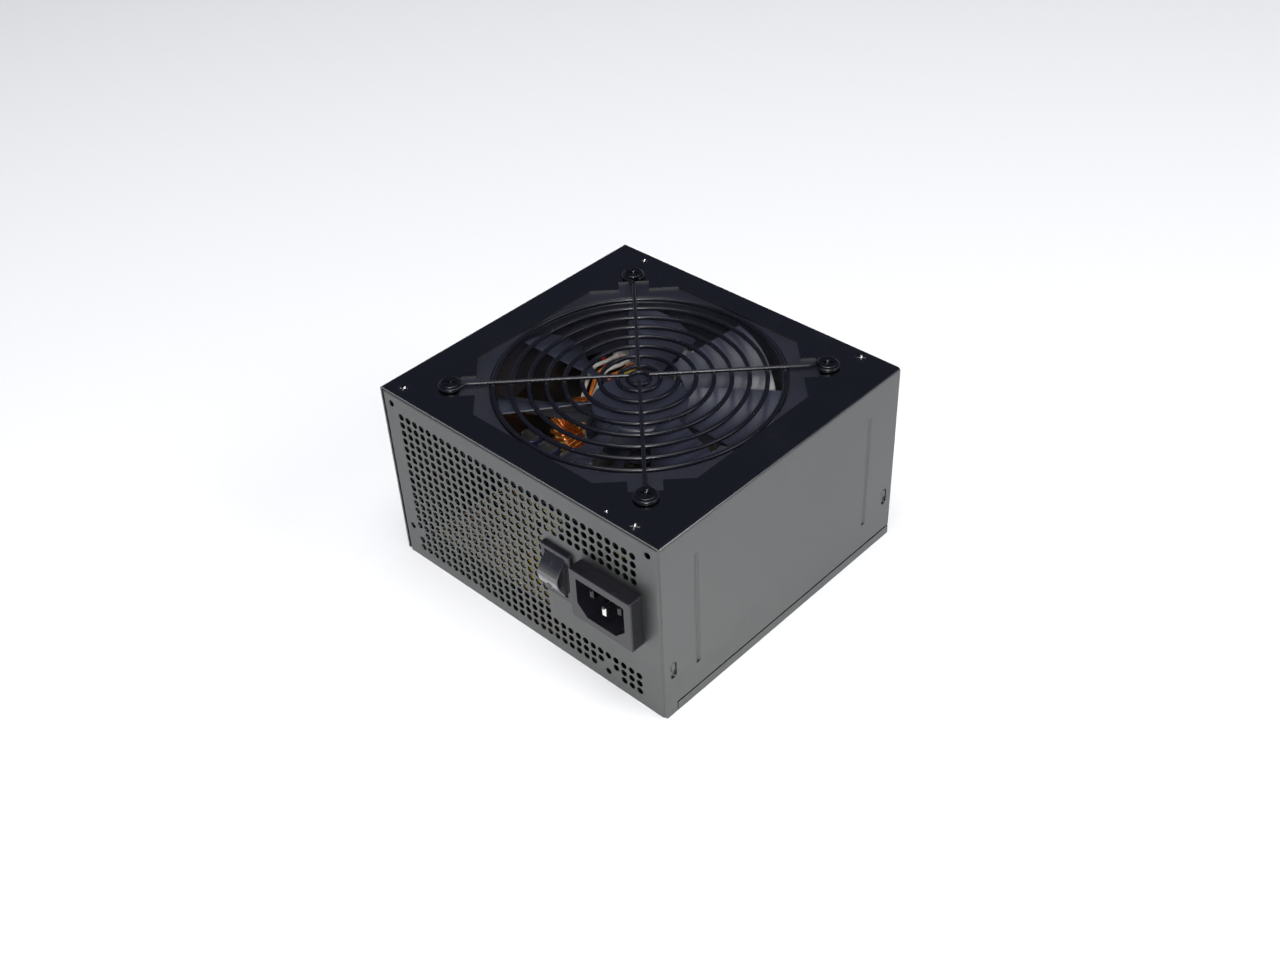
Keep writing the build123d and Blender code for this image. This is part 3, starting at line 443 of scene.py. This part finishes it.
def makePlastic(name, settings):
    dark, light, roughnessBase, grainScale, grainDepth, polish = settings
    f = Finish(name)
    flow = f.noise(40, 3, 0.55)  # slow change of tone, as the melt ran
    grain = f.noise(grainScale, 2, 0.6)
    dust = f.noise(260, 5, 0.7).ramp(0.6, 0.8) * f.facing()[2].ramp(0.2, 0.9)
    colour = f.blend(flow.ramp(0.35, 0.65), dark, light)
    colour = f.blend(dust * 0.05, colour, plasticDust)
    roughness = flow * 0.1 + dust * 0.08 + (roughnessBase - 0.05)
    normal = f.bump(grain, grainDepth * mm)
    shader = f.shade(
        Base_Color=colour,
        Roughness=roughness,
        Normal=normal,
        Specular_IOR_Level=0.6,
        Coat_Weight=polish,
        Coat_Roughness=0.1,
        Coat_IOR=1.9,
    )
    return f.done(shader)


dress(makePlastic("fanFramePlastic", plastics["fanFrame"]), "fan_frame")
dress(makePlastic("fanBladePlastic", plastics["fanBlades"]), "fan_impeller")
dress(makePlastic("socketPlastic", plastics["inlet"]), "inlet_body", "switch_housing")
rockerPlastic = makePlastic("rockerPlastic", plastics["rocker"])
dress(rockerPlastic, "switch_rocker")
dress(makePlastic("bushPlastic", plastics["bush"]), "cable_grommet")
dress(
    makePlastic("mouldedResin", plastics["resin"]),
    "primary_transistors",
    "secondary_rectifiers",
    "transformer_bobbins",
    "output_choke_base",
    "bridge_rectifier",
    "control_chips",
)
print("plastics dressed")


# moulded on and off marks, standing a little out of the rocker
rockerMarks = dict(
    pivotInset=3.0,  # behind the panel's face
    restAngle=-9,
    faceSlope=32.7,  # of each half of the rocker
    faceHeight=8.12,  # from the pivot to the face at the marks
    place=4.9,  # along the rocker, from its middle
    size=1.5,
    wire=0.24,
)


def makeRockerMarks(s=rockerMarks):
    low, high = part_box("switch_housing")
    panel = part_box("rear_panel")[0].y / mm
    pivot = Vector(((low.x + high.x) / 2 / mm, panel + s["pivotInset"], (low.z + high.z) / 2 / mm))
    tilted = Matrix.Translation(pivot) @ Matrix.Rotation(math.radians(s["restAngle"]), 4, "X")
    bm = bmesh.new()
    for side in (-1, 1):
        lean = Matrix.Rotation(math.radians(-side * s["faceSlope"]), 4, "X")
        face = tilted @ Matrix.Translation((0, -s["faceHeight"], side * s["place"])) @ lean
        if side < 0:
            outline = [(s["size"] * math.cos(t), 0, s["size"] * math.sin(t)) for t in fullTurn(32)]
        else:
            outline = [(0, 0, s["size"] * (i / 4 - 1)) for i in range(9)]
        addTube(bm, [face @ Vector(p) for p in outline], s["wire"], 8, closed=side < 0)
    makePiece("rockerMarks", finishMesh(bm, "rockerMarks"), rockerPlastic, "rocker")


makeRockerMarks()
print("rocker marked")


# bare metals
metals = dict(
    # clean and dull tone, roughness, stretch of the working marks
    nickelPlate=((0.68, 0.66, 0.61), (0.5, 0.48, 0.44), 0.22, (300, 300, 300)),
    # the contact blades' near-black tones are painted shade, standing for the shade inside the inlet's cavity
    contactBlade=((0.07, 0.07, 0.07), (0.03, 0.03, 0.03), 0.24, (300, 300, 300)),
    groundSteel=((0.56, 0.56, 0.57), (0.4, 0.4, 0.41), 0.25, (500, 500, 4000)),
    oiledBronze=((0.45, 0.30, 0.16), (0.30, 0.20, 0.11), 0.45, (800, 800, 800)),
    laminations=((0.30, 0.30, 0.31), (0.16, 0.15, 0.15), 0.4, (60, 60, 5000)),
    finAluminium=((0.62, 0.63, 0.65), (0.48, 0.49, 0.51), 0.34, (400, 30, 2600)),
    tinnedWire=((0.70, 0.70, 0.69), (0.52, 0.52, 0.50), 0.25, (700, 700, 700)),
)
# the middle blade of the inlet is painted bright, a painted glint
brightBlade = dict(tone=(0.9, 0.9, 0.88), halfWidth=1.2 * mm, fade=0.3 * mm)


def makeMetal(name):
    clean, dull, roughnessBase, stretch = metals[name]
    f = Finish(name)
    lines = f.noise(1, 3, 0.6, f.stretch(*stretch))
    stain = f.noise(90, 4, 0.6)
    colour = f.blend(stain.ramp(0.35, 0.75) * 0.7 + lines * 0.3, clean, dull)
    if name == "contactBlade":
        low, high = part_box("inlet_pins")
        edge = brightBlade["halfWidth"]
        # painted glint: the middle blade's tone is blended towards near white
        paintedGlint = 1 - abs(f.x - (low.x + high.x) / 2).ramp(edge, edge + brightBlade["fade"])
        colour = f.blend(paintedGlint * 0.9, colour, brightBlade["tone"])
    roughness = stain * 0.16 + lines * 0.1 + (roughnessBase - 0.12)
    normal = f.bump(lines, 0.01 * mm)
    return f.done(f.shade(Base_Color=colour, Roughness=roughness, Metallic=1.0, Normal=normal))


dress(
    makeMetal("nickelPlate"),
    "switch_terminals",
    "board_standoffs",
    "board_screws",
    "heatsink_screws",
    "fuse_clips",
    "earth_terminal",
)
dress(makeMetal("contactBlade"), "inlet_pins")
dress(makeMetal("groundSteel"), "fan_shaft", "fan_shaft_clip")
dress(makeMetal("oiledBronze"), "fan_bush")
dress(makeMetal("laminations"), "fan_stator")
dress(makeMetal("finAluminium"), "primary_heatsink", "secondary_heatsink")
tinnedWire = makeMetal("tinnedWire")
print("metals dressed")


# ferrite and coated powder iron
def makeFerrite(name, dark, light):
    f = Finish(name)
    pits = f.cells(1800)
    speck = f.noise(700, 4, 0.7)
    colour = f.blend(speck, dark, light)
    return f.done(f.shade(Base_Color=colour, Roughness=speck * 0.2 + 0.5, Normal=f.bump(pits, 0.03 * mm)))


darkFerrite = makeFerrite("ferrite", (0.025, 0.025, 0.027), (0.06, 0.058, 0.056))
dress(darkFerrite, "transformer_cores", "line_filter_core", "fan_rotor_magnet")
dress(makeFerrite("yellowCoat", (0.62, 0.5, 0.10), (0.78, 0.66, 0.2)), "output_choke_core")


# windings
def makeEnamel(name, bright, deep, pitch=None):
    # enamelled wire; where a pitch is given, the turns lie side by side up the z axis
    f = Finish(name)
    tone = f.noise(120, 2)
    colour = f.blend(tone.ramp(0.3, 0.7), bright, deep)
    height, depth = f.noise(900, 2), 0.02 * mm
    if pitch:
        turn = abs((f.z / pitch) % 1.0 * 2 - 1)
        height, depth = (1 - turn * turn) ** 0.5, pitch * 0.5
        # painted shade: the grooves between neighbouring turns are blended towards a near-black copper
        colour = f.blend(height.ramp(0.0, 0.45), darker(deep, 0.25), colour)
    shader = f.shade(
        Base_Color=colour,
        Roughness=tone * 0.1 + 0.22,
        Metallic=0.85,
        Normal=f.bump(height, depth),
        Coat_Weight=0.6,
        Coat_Roughness=0.1,
    )
    return f.done(shader)


copperBright, copperDeep = (0.80, 0.30, 0.11), (0.56, 0.17, 0.05)
dress(makeEnamel("coilWire", copperBright, copperDeep, 0.35 * mm), "fan_coils")
dress(makeEnamel("chokeWire", (0.95, 0.30, 0.06), (0.78, 0.17, 0.03)), "output_choke_winding")


filterCoils = dict(wire=0.5, pitch=1.06, halfLength=7.5, height=9.2, cornerRadius=2.2, clearance=0.1)
roundCorners = ((0, 1, 1), (1, -1, 1), (2, -1, -1), (3, 1, -1))  # quarter turn and signs of each corner


def makeFilterCoils(s=filterCoils):
    # real turns of wire round the filter choke's two limbs
    low, high = (Vector(corner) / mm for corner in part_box("line_filter_windings"))
    middle = (low + high) / 2
    inset, cornerRadius, cornerSteps = s["wire"] + s["clearance"], s["cornerRadius"], 5
    halfY, halfZ = (high.y - low.y) / 2 - inset, s["height"] / 2 - inset
    bm = bmesh.new()
    turnCount = int(2 * s["halfLength"] / s["pitch"]) + 1
    for middleZ in (low.z + s["height"] / 2, high.z - s["height"] / 2):
        for i in range(turnCount):
            x = middle.x + (i - (turnCount - 1) / 2) * s["pitch"]
            points = []
            for quarter, sy, sz in roundCorners:
                for step in range(cornerSteps + 1):
                    angle = math.pi / 2 * (quarter + step / cornerSteps)
                    y = sy * (halfY - cornerRadius) + cornerRadius * math.cos(angle)
                    z = sz * (halfZ - cornerRadius) + cornerRadius * math.sin(angle)
                    points.append((x, middle.y + y, middleZ + z))
            addTube(bm, points, s["wire"], 8, closed=True)
    material = makeEnamel("filterWire", copperBright, copperDeep)
    piece = makePiece("filterCoils", finishMesh(bm, "filterCoils"), material, "case")
    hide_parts("line_filter_windings")


makeFilterCoils()


def makeTape():
    f = Finish("yellowTape")
    wrap = abs((f.z / (7.5 * mm)) % 1.0 * 2 - 1).ramp(0.88, 0.98)  # the overlap of each layer
    crease = f.noise(200, 4, 0.6, f.stretch(0.4, 0.4, 3))
    colour = f.blend(crease.ramp(0.3, 0.8), (0.82, 0.66, 0.06), (0.70, 0.52, 0.04))
    colour = f.blend(wrap * 0.4, colour, (0.45, 0.32, 0.03))
    normal = f.bump(crease + wrap * 0.6, 0.05 * mm)
    return f.done(f.shade(Base_Color=colour, Roughness=crease * 0.12 + 0.18, Normal=normal, Coat_Weight=0.5))


tape = makeTape()
dress(tape, "transformer_windings")


coreTape = dict(
    width=9.0,
    thick=0.14,
    gap=0.03,
    corner=0.8,
    cores=[dict(x=4.0, y=34.0, width=36.0, height=34.0), dict(x=6.0, y=-6.0, width=21.0, height=20.0)],
)


def makeCoreTape(s=coreTape):
    # a band of tape round each ferrite core, over its top, sides and underside
    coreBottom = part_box("transformer_cores")[0].z / mm
    cornerSteps = 3
    bm = bmesh.new()
    for core in s["cores"]:
        halfX, halfZ = core["width"] / 2 + s["gap"], core["height"] / 2 + s["gap"]
        middle = Vector((core["x"], core["y"], coreBottom + core["height"] / 2))
        outline = []
        for quarter, sx, sz in roundCorners:
            for step in range(cornerSteps + 1):
                angle = math.pi / 2 * (quarter + step / cornerSteps)
                outward = (math.cos(angle), 0, math.sin(angle))
                corner = Vector((sx * (halfX - s["corner"]), 0, sz * (halfZ - s["corner"])))
                outline.append((middle + corner + Vector(outward) * s["corner"], outward))
        half = Vector((0, s["width"] / 2, 0))
        addStrap(bm, outline, -half, half, s["thick"])
    makePiece("coreTape", finishMesh(bm, "coreTape"), tape, "case")


makeCoreTape()
print("windings dressed")


# circuit boards
boards = dict(
    tan=dict(base=(0.80, 0.72, 0.46), deep=(0.66, 0.56, 0.32), track=(0.60, 0.58, 0.34)),
    green=dict(base=(0.05, 0.16, 0.06), deep=(0.03, 0.10, 0.04), track=(0.07, 0.22, 0.08)),
    ink=(0.85, 0.84, 0.78),
    cell=7.6 * mm,
    trackPitch=3.1 * mm,
)


def makeBoard(name, tones, s=boards):
    f = Finish(name)
    weave = f.noise(500, 3, 0.6)
    blotch = f.noise(60, 3)
    cell = f.cells(1 / s["cell"], distance="CHEBYCHEV", randomness=0.55)
    outline = cell.ramp(0.36, 0.375) * (1 - cell.ramp(0.395, 0.41))  # printed outlines round the small parts
    tracks = f.cells(1 / s["trackPitch"], feature="DISTANCE_TO_EDGE").ramp(0.10, 0.13)
    colour = f.blend(weave * 0.5 + blotch * 0.5, tones["base"], tones["deep"])
    colour = f.blend((1 - tracks) * 0.35, colour, tones["track"])
    colour = f.blend(outline * f.facing()[2].ramp(0.8, 0.9) * 0.7, colour, s["ink"])
    normal = f.bump(weave * 0.3 + tracks * 0.4, 0.04 * mm)
    return f.done(f.shade(Base_Color=colour, Roughness=weave * 0.15 + 0.38, Normal=normal, Coat_Weight=0.25))


dress(makeBoard("tanLaminate", boards["tan"]), "main_board", "fan_motor_board")
dress(makeBoard("greenLaminate", boards["green"]), "control_card", "fan_control_card")


def makeFilm():
    f = Finish("insulatingFilm")
    ripple = f.noise(90, 3)
    colour = f.blend(ripple, (0.62, 0.63, 0.6), (0.74, 0.74, 0.7))
    normal = f.bump(ripple, 0.1 * mm)
    return f.done(f.shade(Base_Color=colour, Roughness=ripple * 0.15 + 0.2, Alpha=0.75, Normal=normal))


dress(makeFilm(), "insulating_sheet")


# capacitors
cans = dict(
    bulk_capacitors=dict(
        name="bulkSleeve",
        sleeve=(0.012, 0.014, 0.02),
        stripe=(0.45, 0.46, 0.5),
        radius=14.5,
        centres=[(50, 5), (50, 37)],
    ),
    output_capacitors=dict(
        name="outputSleeve",
        sleeve=(0.02, 0.025, 0.07),
        stripe=(0.62, 0.6, 0.5),
        radius=5.0,
        centres=[(-62, -6), (-50, -7), (-38, -6), (-34.5, 27.5), (-35, 38.5), (-35, 49.5), (-46, 41)],
    ),
)


def makeCan(node, s):
    # shrink sleeve with one pale stripe; the bare top is scored with a cross
    f = Finish(s["name"])
    radius, top = s["radius"] * mm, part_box(node)[1].z
    flat = f.facing()[2].ramp(0.97, 0.995)
    disc, cross, stripe = 0.0, 0.0, 0.0
    for cx, cy in s["centres"]:
        dx, dy = f.x - cx * mm, f.y - cy * mm
        distance = (dx * dx + dy * dy) ** 0.5
        inside = 1 - distance.ramp(radius * 0.80, radius * 0.84)
        score = (0.03 * radius, 0.05 * radius)
        lines = 1 - abs(dx).ramp(*score) | 1 - abs(dy).ramp(*score)
        disc = inside | disc
        cross = lines * inside | cross
        stripe = (dx < -0.62 * radius) * (abs(dy) < 0.45 * radius) * (distance < radius * 1.1) | stripe
    metal = disc * flat * f.z.ramp(top - 0.3 * mm, top - 0.1 * mm)
    wrinkle = f.noise(120, 3)
    colour = f.blend(wrinkle, s["sleeve"], darker(s["sleeve"], 0.7))
    colour = f.blend(stripe * (1 - flat) * 0.9, colour, s["stripe"])
    colour = f.blend(metal, colour, (0.66, 0.67, 0.68))
    normal = f.bump(wrinkle * 0.2 - cross * metal * 1.5, 0.12 * mm)
    roughness = wrinkle * 0.1 + 0.2 + metal * 0.12
    return f.done(f.shade(Base_Color=colour, Roughness=roughness, Metallic=metal, Normal=normal))


for node, settings in cans.items():
    dress(makeCan(node, settings), node)


def makeDipped(name, first, second, roughness, scale):
    # dipped or cast parts with a soft sheen
    f = Finish(name)
    tone = f.noise(scale, 3)
    fine = f.noise(scale * 9, 3, 0.6)
    colour = f.blend(tone.ramp(0.35, 0.65), first, second)
    normal = f.bump(fine, 0.03 * mm)
    return f.done(f.shade(Base_Color=colour, Roughness=fine * 0.12 + roughness, Normal=normal))


dress(makeDipped("filmBox", (0.70, 0.52, 0.10), (0.62, 0.44, 0.07), 0.35, 60), "film_capacitors")
dress(makeDipped("ceramicDip", (0.06, 0.16, 0.45), (0.04, 0.11, 0.34), 0.28, 120), "disc_parts")
dress(makeDipped("whiteNylon", (0.80, 0.79, 0.74), (0.72, 0.71, 0.66), 0.4, 80), "lead_plugs")


def makeFuse():
    f = Finish("fuseGlass")
    low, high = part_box("fuse")
    middle, half = (low.x + high.x) / 2, (high.x - low.x) / 2
    cap = abs(f.x - middle).ramp(half - 5.2 * mm, half - 5.0 * mm)
    wire = 1 - abs(f.z - (low.z + high.z) / 2).ramp(0.15 * mm, 0.3 * mm)
    tarnish = f.noise(500, 3)
    tube = f.blend(wire, (0.9, 0.94, 0.95), (0.5, 0.5, 0.48))
    glass = f.shade(Base_Color=tube, Roughness=tarnish * 0.05 + 0.03, Alpha=wire * 0.6 + 0.35)
    plating = f.blend(tarnish, (0.72, 0.70, 0.64), (0.5, 0.48, 0.42))
    brass = f.shade(Base_Color=plating, Roughness=tarnish * 0.2 + 0.15, Metallic=1.0)
    return f.done(f.add("ShaderNodeMixShader", {}, {0: cap, 1: glass, 2: brass}))


dress(makeFuse(), "fuse")


# small parts soldered to the board
smallParts = dict(
    bodyLength=6.4,
    bodyRadius=1.15,
    legRadius=0.3,
    legSpan=10.0,
    lift=1.6,  # of the body's middle over the board
    # x, y, turn in degrees, kind
    places=[
        (-58, -46, 0, "resistor"),
        (-58, -40, 0, "resistor"),
        (-44, -50, 90, "diode"),
        (-36, -50, 90, "resistor"),
        (-28, -50, 90, "resistor"),
        (-58, -32, 0, "diode"),
        (-42, -32, 90, "resistor"),
        (-34, -30, 90, "diode"),
        (-20, -44, 0, "resistor"),
        (-56, -22, 0, "resistor"),
        (-42, -19, 0, "resistor"),
        (-9, -15, 90, "resistor"),
        (60, 53, 0, "diode"),
        (38, -6, 90, "resistor"),
    ],
)


# body colour, and the place and colour of each band
bodyCoats = dict(
    resistor=(
        (0.62, 0.50, 0.34),
        [
            (-0.30, (0.45, 0.04, 0.03)),
            (-0.14, (0.32, 0.15, 0.05)),
            (0.02, (0.85, 0.32, 0.03)),
            (0.28, (0.65, 0.5, 0.15)),
        ],
    ),
    diode=((0.02, 0.02, 0.022), [(0.32, (0.6, 0.6, 0.6))]),
)


def makeBodyCoat(kind, s=smallParts):
    # the colour bands run round the body, which lies along x
    f = Finish(kind + "Coat")
    gloss = f.noise(400, 3)
    share = f.x / (s["bodyLength"] * mm)
    base, bands = bodyCoats[kind]
    colour = f.blend(gloss, base, darker(base, 0.8))
    for middle, tone in bands:
        colour = f.blend(1 - abs(share - middle).ramp(0.045, 0.055), colour, tone)
    return f.done(f.shade(Base_Color=colour, Roughness=gloss * 0.1 + 0.25, Normal=f.bump(gloss, 0.03 * mm)))


def makeSmallParts(s=smallParts):
    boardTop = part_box("main_board")[1].z / mm
    half, radius = s["bodyLength"] / 2, s["bodyRadius"]
    # half of each body's outline, from its end to the middle
    profiles = dict(
        resistor=[(0.1, 0), (radius * 0.9, 0.4), (radius, 1.2), (radius * 0.82, 2.0)],
        diode=[(0.1, 0), (radius * 0.8, 0.05), (radius, 0.3), (radius, 2.0)],
    )
    for kind, profile in profiles.items():
        bm = bmesh.new()
        ends = [(r, h - half) for r, h in profile] + [(r, half - h) for r, h in reversed(profile)]
        addLathe(bm, ends, Matrix.Rotation(math.pi / 2, 4, "Y"), 20)
        body = finishMesh(bm, kind)
        bm = bmesh.new()
        reach = s["legSpan"] / 2
        bend = [(reach, -s["lift"]), (reach, -0.7), (reach - 0.2, -0.2), (reach - 0.7, 0)]
        leg = [(x, 0, z) for x, z in bend] + [(-x, 0, z) for x, z in reversed(bend)]
        addTube(bm, leg, s["legRadius"], 8)
        legs = finishMesh(bm, kind + "Legs")
        coat = makeBodyCoat(kind)
        for i, (x, y, turn, _) in enumerate(place for place in s["places"] if place[3] == kind):
            spot = Matrix.Translation(Vector((x, y, boardTop + s["lift"])) * mm)
            spot = spot @ Matrix.Rotation(math.radians(turn), 4, "Z")
            makePiece(f"{kind}{i}", body, coat, "case", spot)
            makePiece(f"{kind}Legs{i}", legs, tinnedWire, "case", spot)


makeSmallParts()


glueBlobs = dict(
    seed=4,
    lumps=0.28,
    # x, y, radius, height
    places=[
        (47, 21, 5.0, 3.2),
        (33, 5, 3.2, 2.4),
        (-50, 0.6, 4.0, 2.6),
        (-28, -6, 3.2, 2.2),
        (-42, 48, 3.4, 2.4),
        (12, -43, 3.4, 2.6),
        (36, -36, 3.0, 2.2),
    ],
)


def makeGlue():
    # soft silicone that keeps the tall parts from shaking
    f = Finish("whiteSilicone")
    skin = f.noise(150, 3)
    colour = f.blend(skin, (0.78, 0.77, 0.73), (0.66, 0.65, 0.61))
    roughness, normal = skin * 0.15 + 0.3, f.bump(skin, 0.15 * mm)
    return f.done(f.shade(Base_Color=colour, Roughness=roughness, Normal=normal, Subsurface_Weight=0.2))


def makeGlueBlobs(s=glueBlobs):
    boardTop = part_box("main_board")[1].z / mm
    bm = bmesh.new()
    for number, (x, y, radius, height) in enumerate(s["places"]):
        blob = bmesh.ops.create_icosphere(bm, subdivisions=4, radius=1.0)
        for vertex in blob["verts"]:
            lump = noise.noise(vertex.co * 1.6 + Vector((s["seed"] + number * 7, 0, 0)))
            grown = vertex.co * (1 + s["lumps"] * lump)
            z = boardTop + 0.02 + max(grown.z, 0) * height
            vertex.co = Vector((x + grown.x * radius, y + grown.y * radius, z))
    makePiece("glueBlobs", finishMesh(bm, "glueBlobs"), makeGlue(), "case")


makeGlueBlobs()
print("board parts made")


# insulated leads
leads = dict(
    white_leads=("whiteLead", (0.86, 0.85, 0.80)),
    orange_leads=("orangeLead", (0.90, 0.24, 0.03)),
    yellow_lead=("yellowLead", (0.90, 0.68, 0.08)),
    red_leads=("redLead", (0.70, 0.04, 0.02)),
    black_lead=("blackLead", (0.02, 0.02, 0.02)),
    brown_leads=("brownLead", (0.17, 0.06, 0.025)),
    blue_lead=("blueLead", (0.03, 0.13, 0.50)),
)


def makeInsulation(name, colour, stripe=None):
    f = Finish(name)
    rub = f.noise(300, 3, 0.6)
    tone = f.blend(rub.ramp(0.3, 0.7), colour, darker(colour, 0.78))
    if stripe:
        twist = abs(((f.x + f.y + f.z * 0.6) / (7 * mm)) % 1.0 * 2 - 1)
        tone = f.blend(twist.ramp(0.55, 0.6), tone, stripe)
    return f.done(f.shade(Base_Color=tone, Roughness=rub * 0.15 + 0.26, Normal=f.bump(rub, 0.03 * mm)))


for node, (name, colour) in leads.items():
    dress(makeInsulation(name, colour), node)
dress(makeInsulation("earthLead", (0.10, 0.36, 0.06), (0.80, 0.66, 0.05)), "earth_lead")


sleeves = dict(
    start=1.5,  # behind the start of the tab
    tabLength=7,
    tabSpacing=7,
    outerHeight=48.0,
    earthHeight=44.0,
    length=9.4,
    # share of the length, half height, half width: flat over the tab, round over the lead
    rings=[
        (0, 2.3, 0.75),
        (0.05, 2.45, 0.85),
        (0.5, 2.4, 0.85),
        (0.68, 1.7, 1.25),
        (0.8, 1.4, 1.4),
        (1, 1.36, 1.36),
    ],
)


def makeSleeves(s=sleeves):
    # heat-shrink over the joints behind the inlet and the switch
    bm = bmesh.new()
    inletLow, inletHigh = (Vector(corner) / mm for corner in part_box("inlet_pins"))
    tabLow, tabHigh = (Vector(corner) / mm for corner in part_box("switch_terminals"))
    middle, apart = (inletLow.x + inletHigh.x) / 2, s["tabSpacing"]
    inletTab, switchTab = inletHigh.y - s["tabLength"], tabHigh.y - s["tabLength"]
    places = [(middle + side * apart, s["outerHeight"], inletTab) for side in (-1, 1)]
    places.insert(1, (middle, s["earthHeight"], inletTab))
    places += [((tabLow.x + tabHigh.x) / 2, z, switchTab) for z in (tabLow.z + 2.4, tabHigh.z - 2.4)]
    for x, z, y in places:
        lying = Matrix.Translation((x, y + s["start"], z)) @ Matrix.Rotation(-math.pi / 2, 4, "X")
        rings = []
        for share, height, width in s["rings"]:
            along = share * s["length"]
            ring = [Vector((width * math.cos(t), height * math.sin(t), along)) for t in fullTurn(20)]
            rings.append([bm.verts.new(lying @ point) for point in ring])
        for first, second in zip(rings, rings[1:]):
            joinRings(bm, first, second)
        bm.faces.new(reversed(rings[0]))
        bm.faces.new(rings[-1])
    material = makeInsulation("shrinkSleeve", (0.035, 0.035, 0.037))
    makePiece("shrinkSleeves", finishMesh(bm, "shrinkSleeves"), material, "case")


makeSleeves()
print("leads dressed")


# studio
studio = dict(
    floorSize=3.4,
    floorCells=12,
    floorColour=(0.88, 0.88, 0.88),
    lights=[
        dict(name="overhead", place=(0.15, -0.2, 2.0), size=1.5, power=25),
        dict(name="besideCamera", place=(1.36, -1.33, 1.60), size=0.45, power=50),
        dict(name="rightBack", place=(1.9, 0.9, 1.5), size=1.3, power=14),
    ],
    sky=[
        # height from straight down to straight up, colour
        (0.0, (0.90, 0.90, 0.90)),
        (0.50, (0.90, 0.90, 0.90)),
        (0.58, (0.34, 0.35, 0.37)),
        (0.66, (0.065, 0.07, 0.115)),
        (1.0, (0.05, 0.055, 0.09)),
    ],
    camera=dict(
        azimuth=44.98,
        elevation=39.34,
        roll=-3.05,
        distance=0.6113,
        target=(6.97, -9.47, 43.0),
        lens=42.4,
    ),
)


def makeFloor(s=studio):
    bm = bmesh.new()
    bmesh.ops.create_grid(bm, x_segments=s["floorCells"], y_segments=s["floorCells"], size=s["floorSize"] / 2)
    mesh = bpy.data.meshes.new("studioFloor")
    bm.to_mesh(mesh)
    bm.free()
    floor = bpy.data.objects.new("studioFloor", mesh)
    bpy.context.scene.collection.objects.link(floor)
    f = Finish("studioPaper")
    tooth = f.noise(300, 3)
    paper = f.blend(tooth, s["floorColour"], darker(s["floorColour"], 0.985))
    mesh.materials.append(f.done(f.shade(Base_Color=paper, Roughness=0.9)))


def makeLight(name, place, size, power):
    data = bpy.data.lights.new(name, "AREA")
    data.shape, data.size, data.energy = "DISK", size, power
    light = bpy.data.objects.new(name, data)
    light.location = place
    light.rotation_euler = (Vector((0, 0, 0.04)) - Vector(place)).to_track_quat("-Z", "Y").to_euler()
    bpy.context.scene.collection.objects.link(light)


def makeWorld(s=studio):
    # pale near the horizon, dim overhead, so that the plated top mirrors a dim ceiling
    world = bpy.data.worlds.new("studioRoom")
    bpy.context.scene.world = world
    tree = Tree(world)
    height = tree.split(tree.add("ShaderNodeTexCoord", out="Generated"))[2]
    sky = tree.add("ShaderNodeValToRGB", {"stops": s["sky"]}, {0: height * 0.5 + 0.5})
    background = tree.add("ShaderNodeBackground", {}, {0: sky, 1: 1.0})
    tree.add("ShaderNodeOutputWorld", {}, {0: background})


def makeCamera(s=studio["camera"]):
    azimuth, elevation, roll = (math.radians(s[key]) for key in ("azimuth", "elevation", "roll"))
    across = math.cos(elevation)
    back = Vector((math.sin(azimuth) * across, -math.cos(azimuth) * across, math.sin(elevation)))
    side = Vector((math.cos(azimuth), math.sin(azimuth), 0))
    up = back.cross(side)
    turnedSide = side * math.cos(roll) + up * math.sin(roll)
    turnedUp = up * math.cos(roll) - side * math.sin(roll)
    place = Vector(s["target"]) * mm + back * s["distance"]
    data = bpy.data.cameras.new("mainCamera")
    data.sensor_width, data.lens, data.clip_start = 36, s["lens"], 0.01
    camera = bpy.data.objects.new("mainCamera", data)
    turned = Matrix((turnedSide, turnedUp, back)).transposed().to_4x4()
    camera.matrix_world = Matrix.Translation(place) @ turned
    bpy.context.scene.collection.objects.link(camera)
    bpy.context.scene.camera = camera


makeFloor()
for light in studio["lights"]:
    makeLight(**light)
makeWorld()
makeCamera()
bpy.context.scene.view_settings.view_transform = "Standard"
print("studio ready")
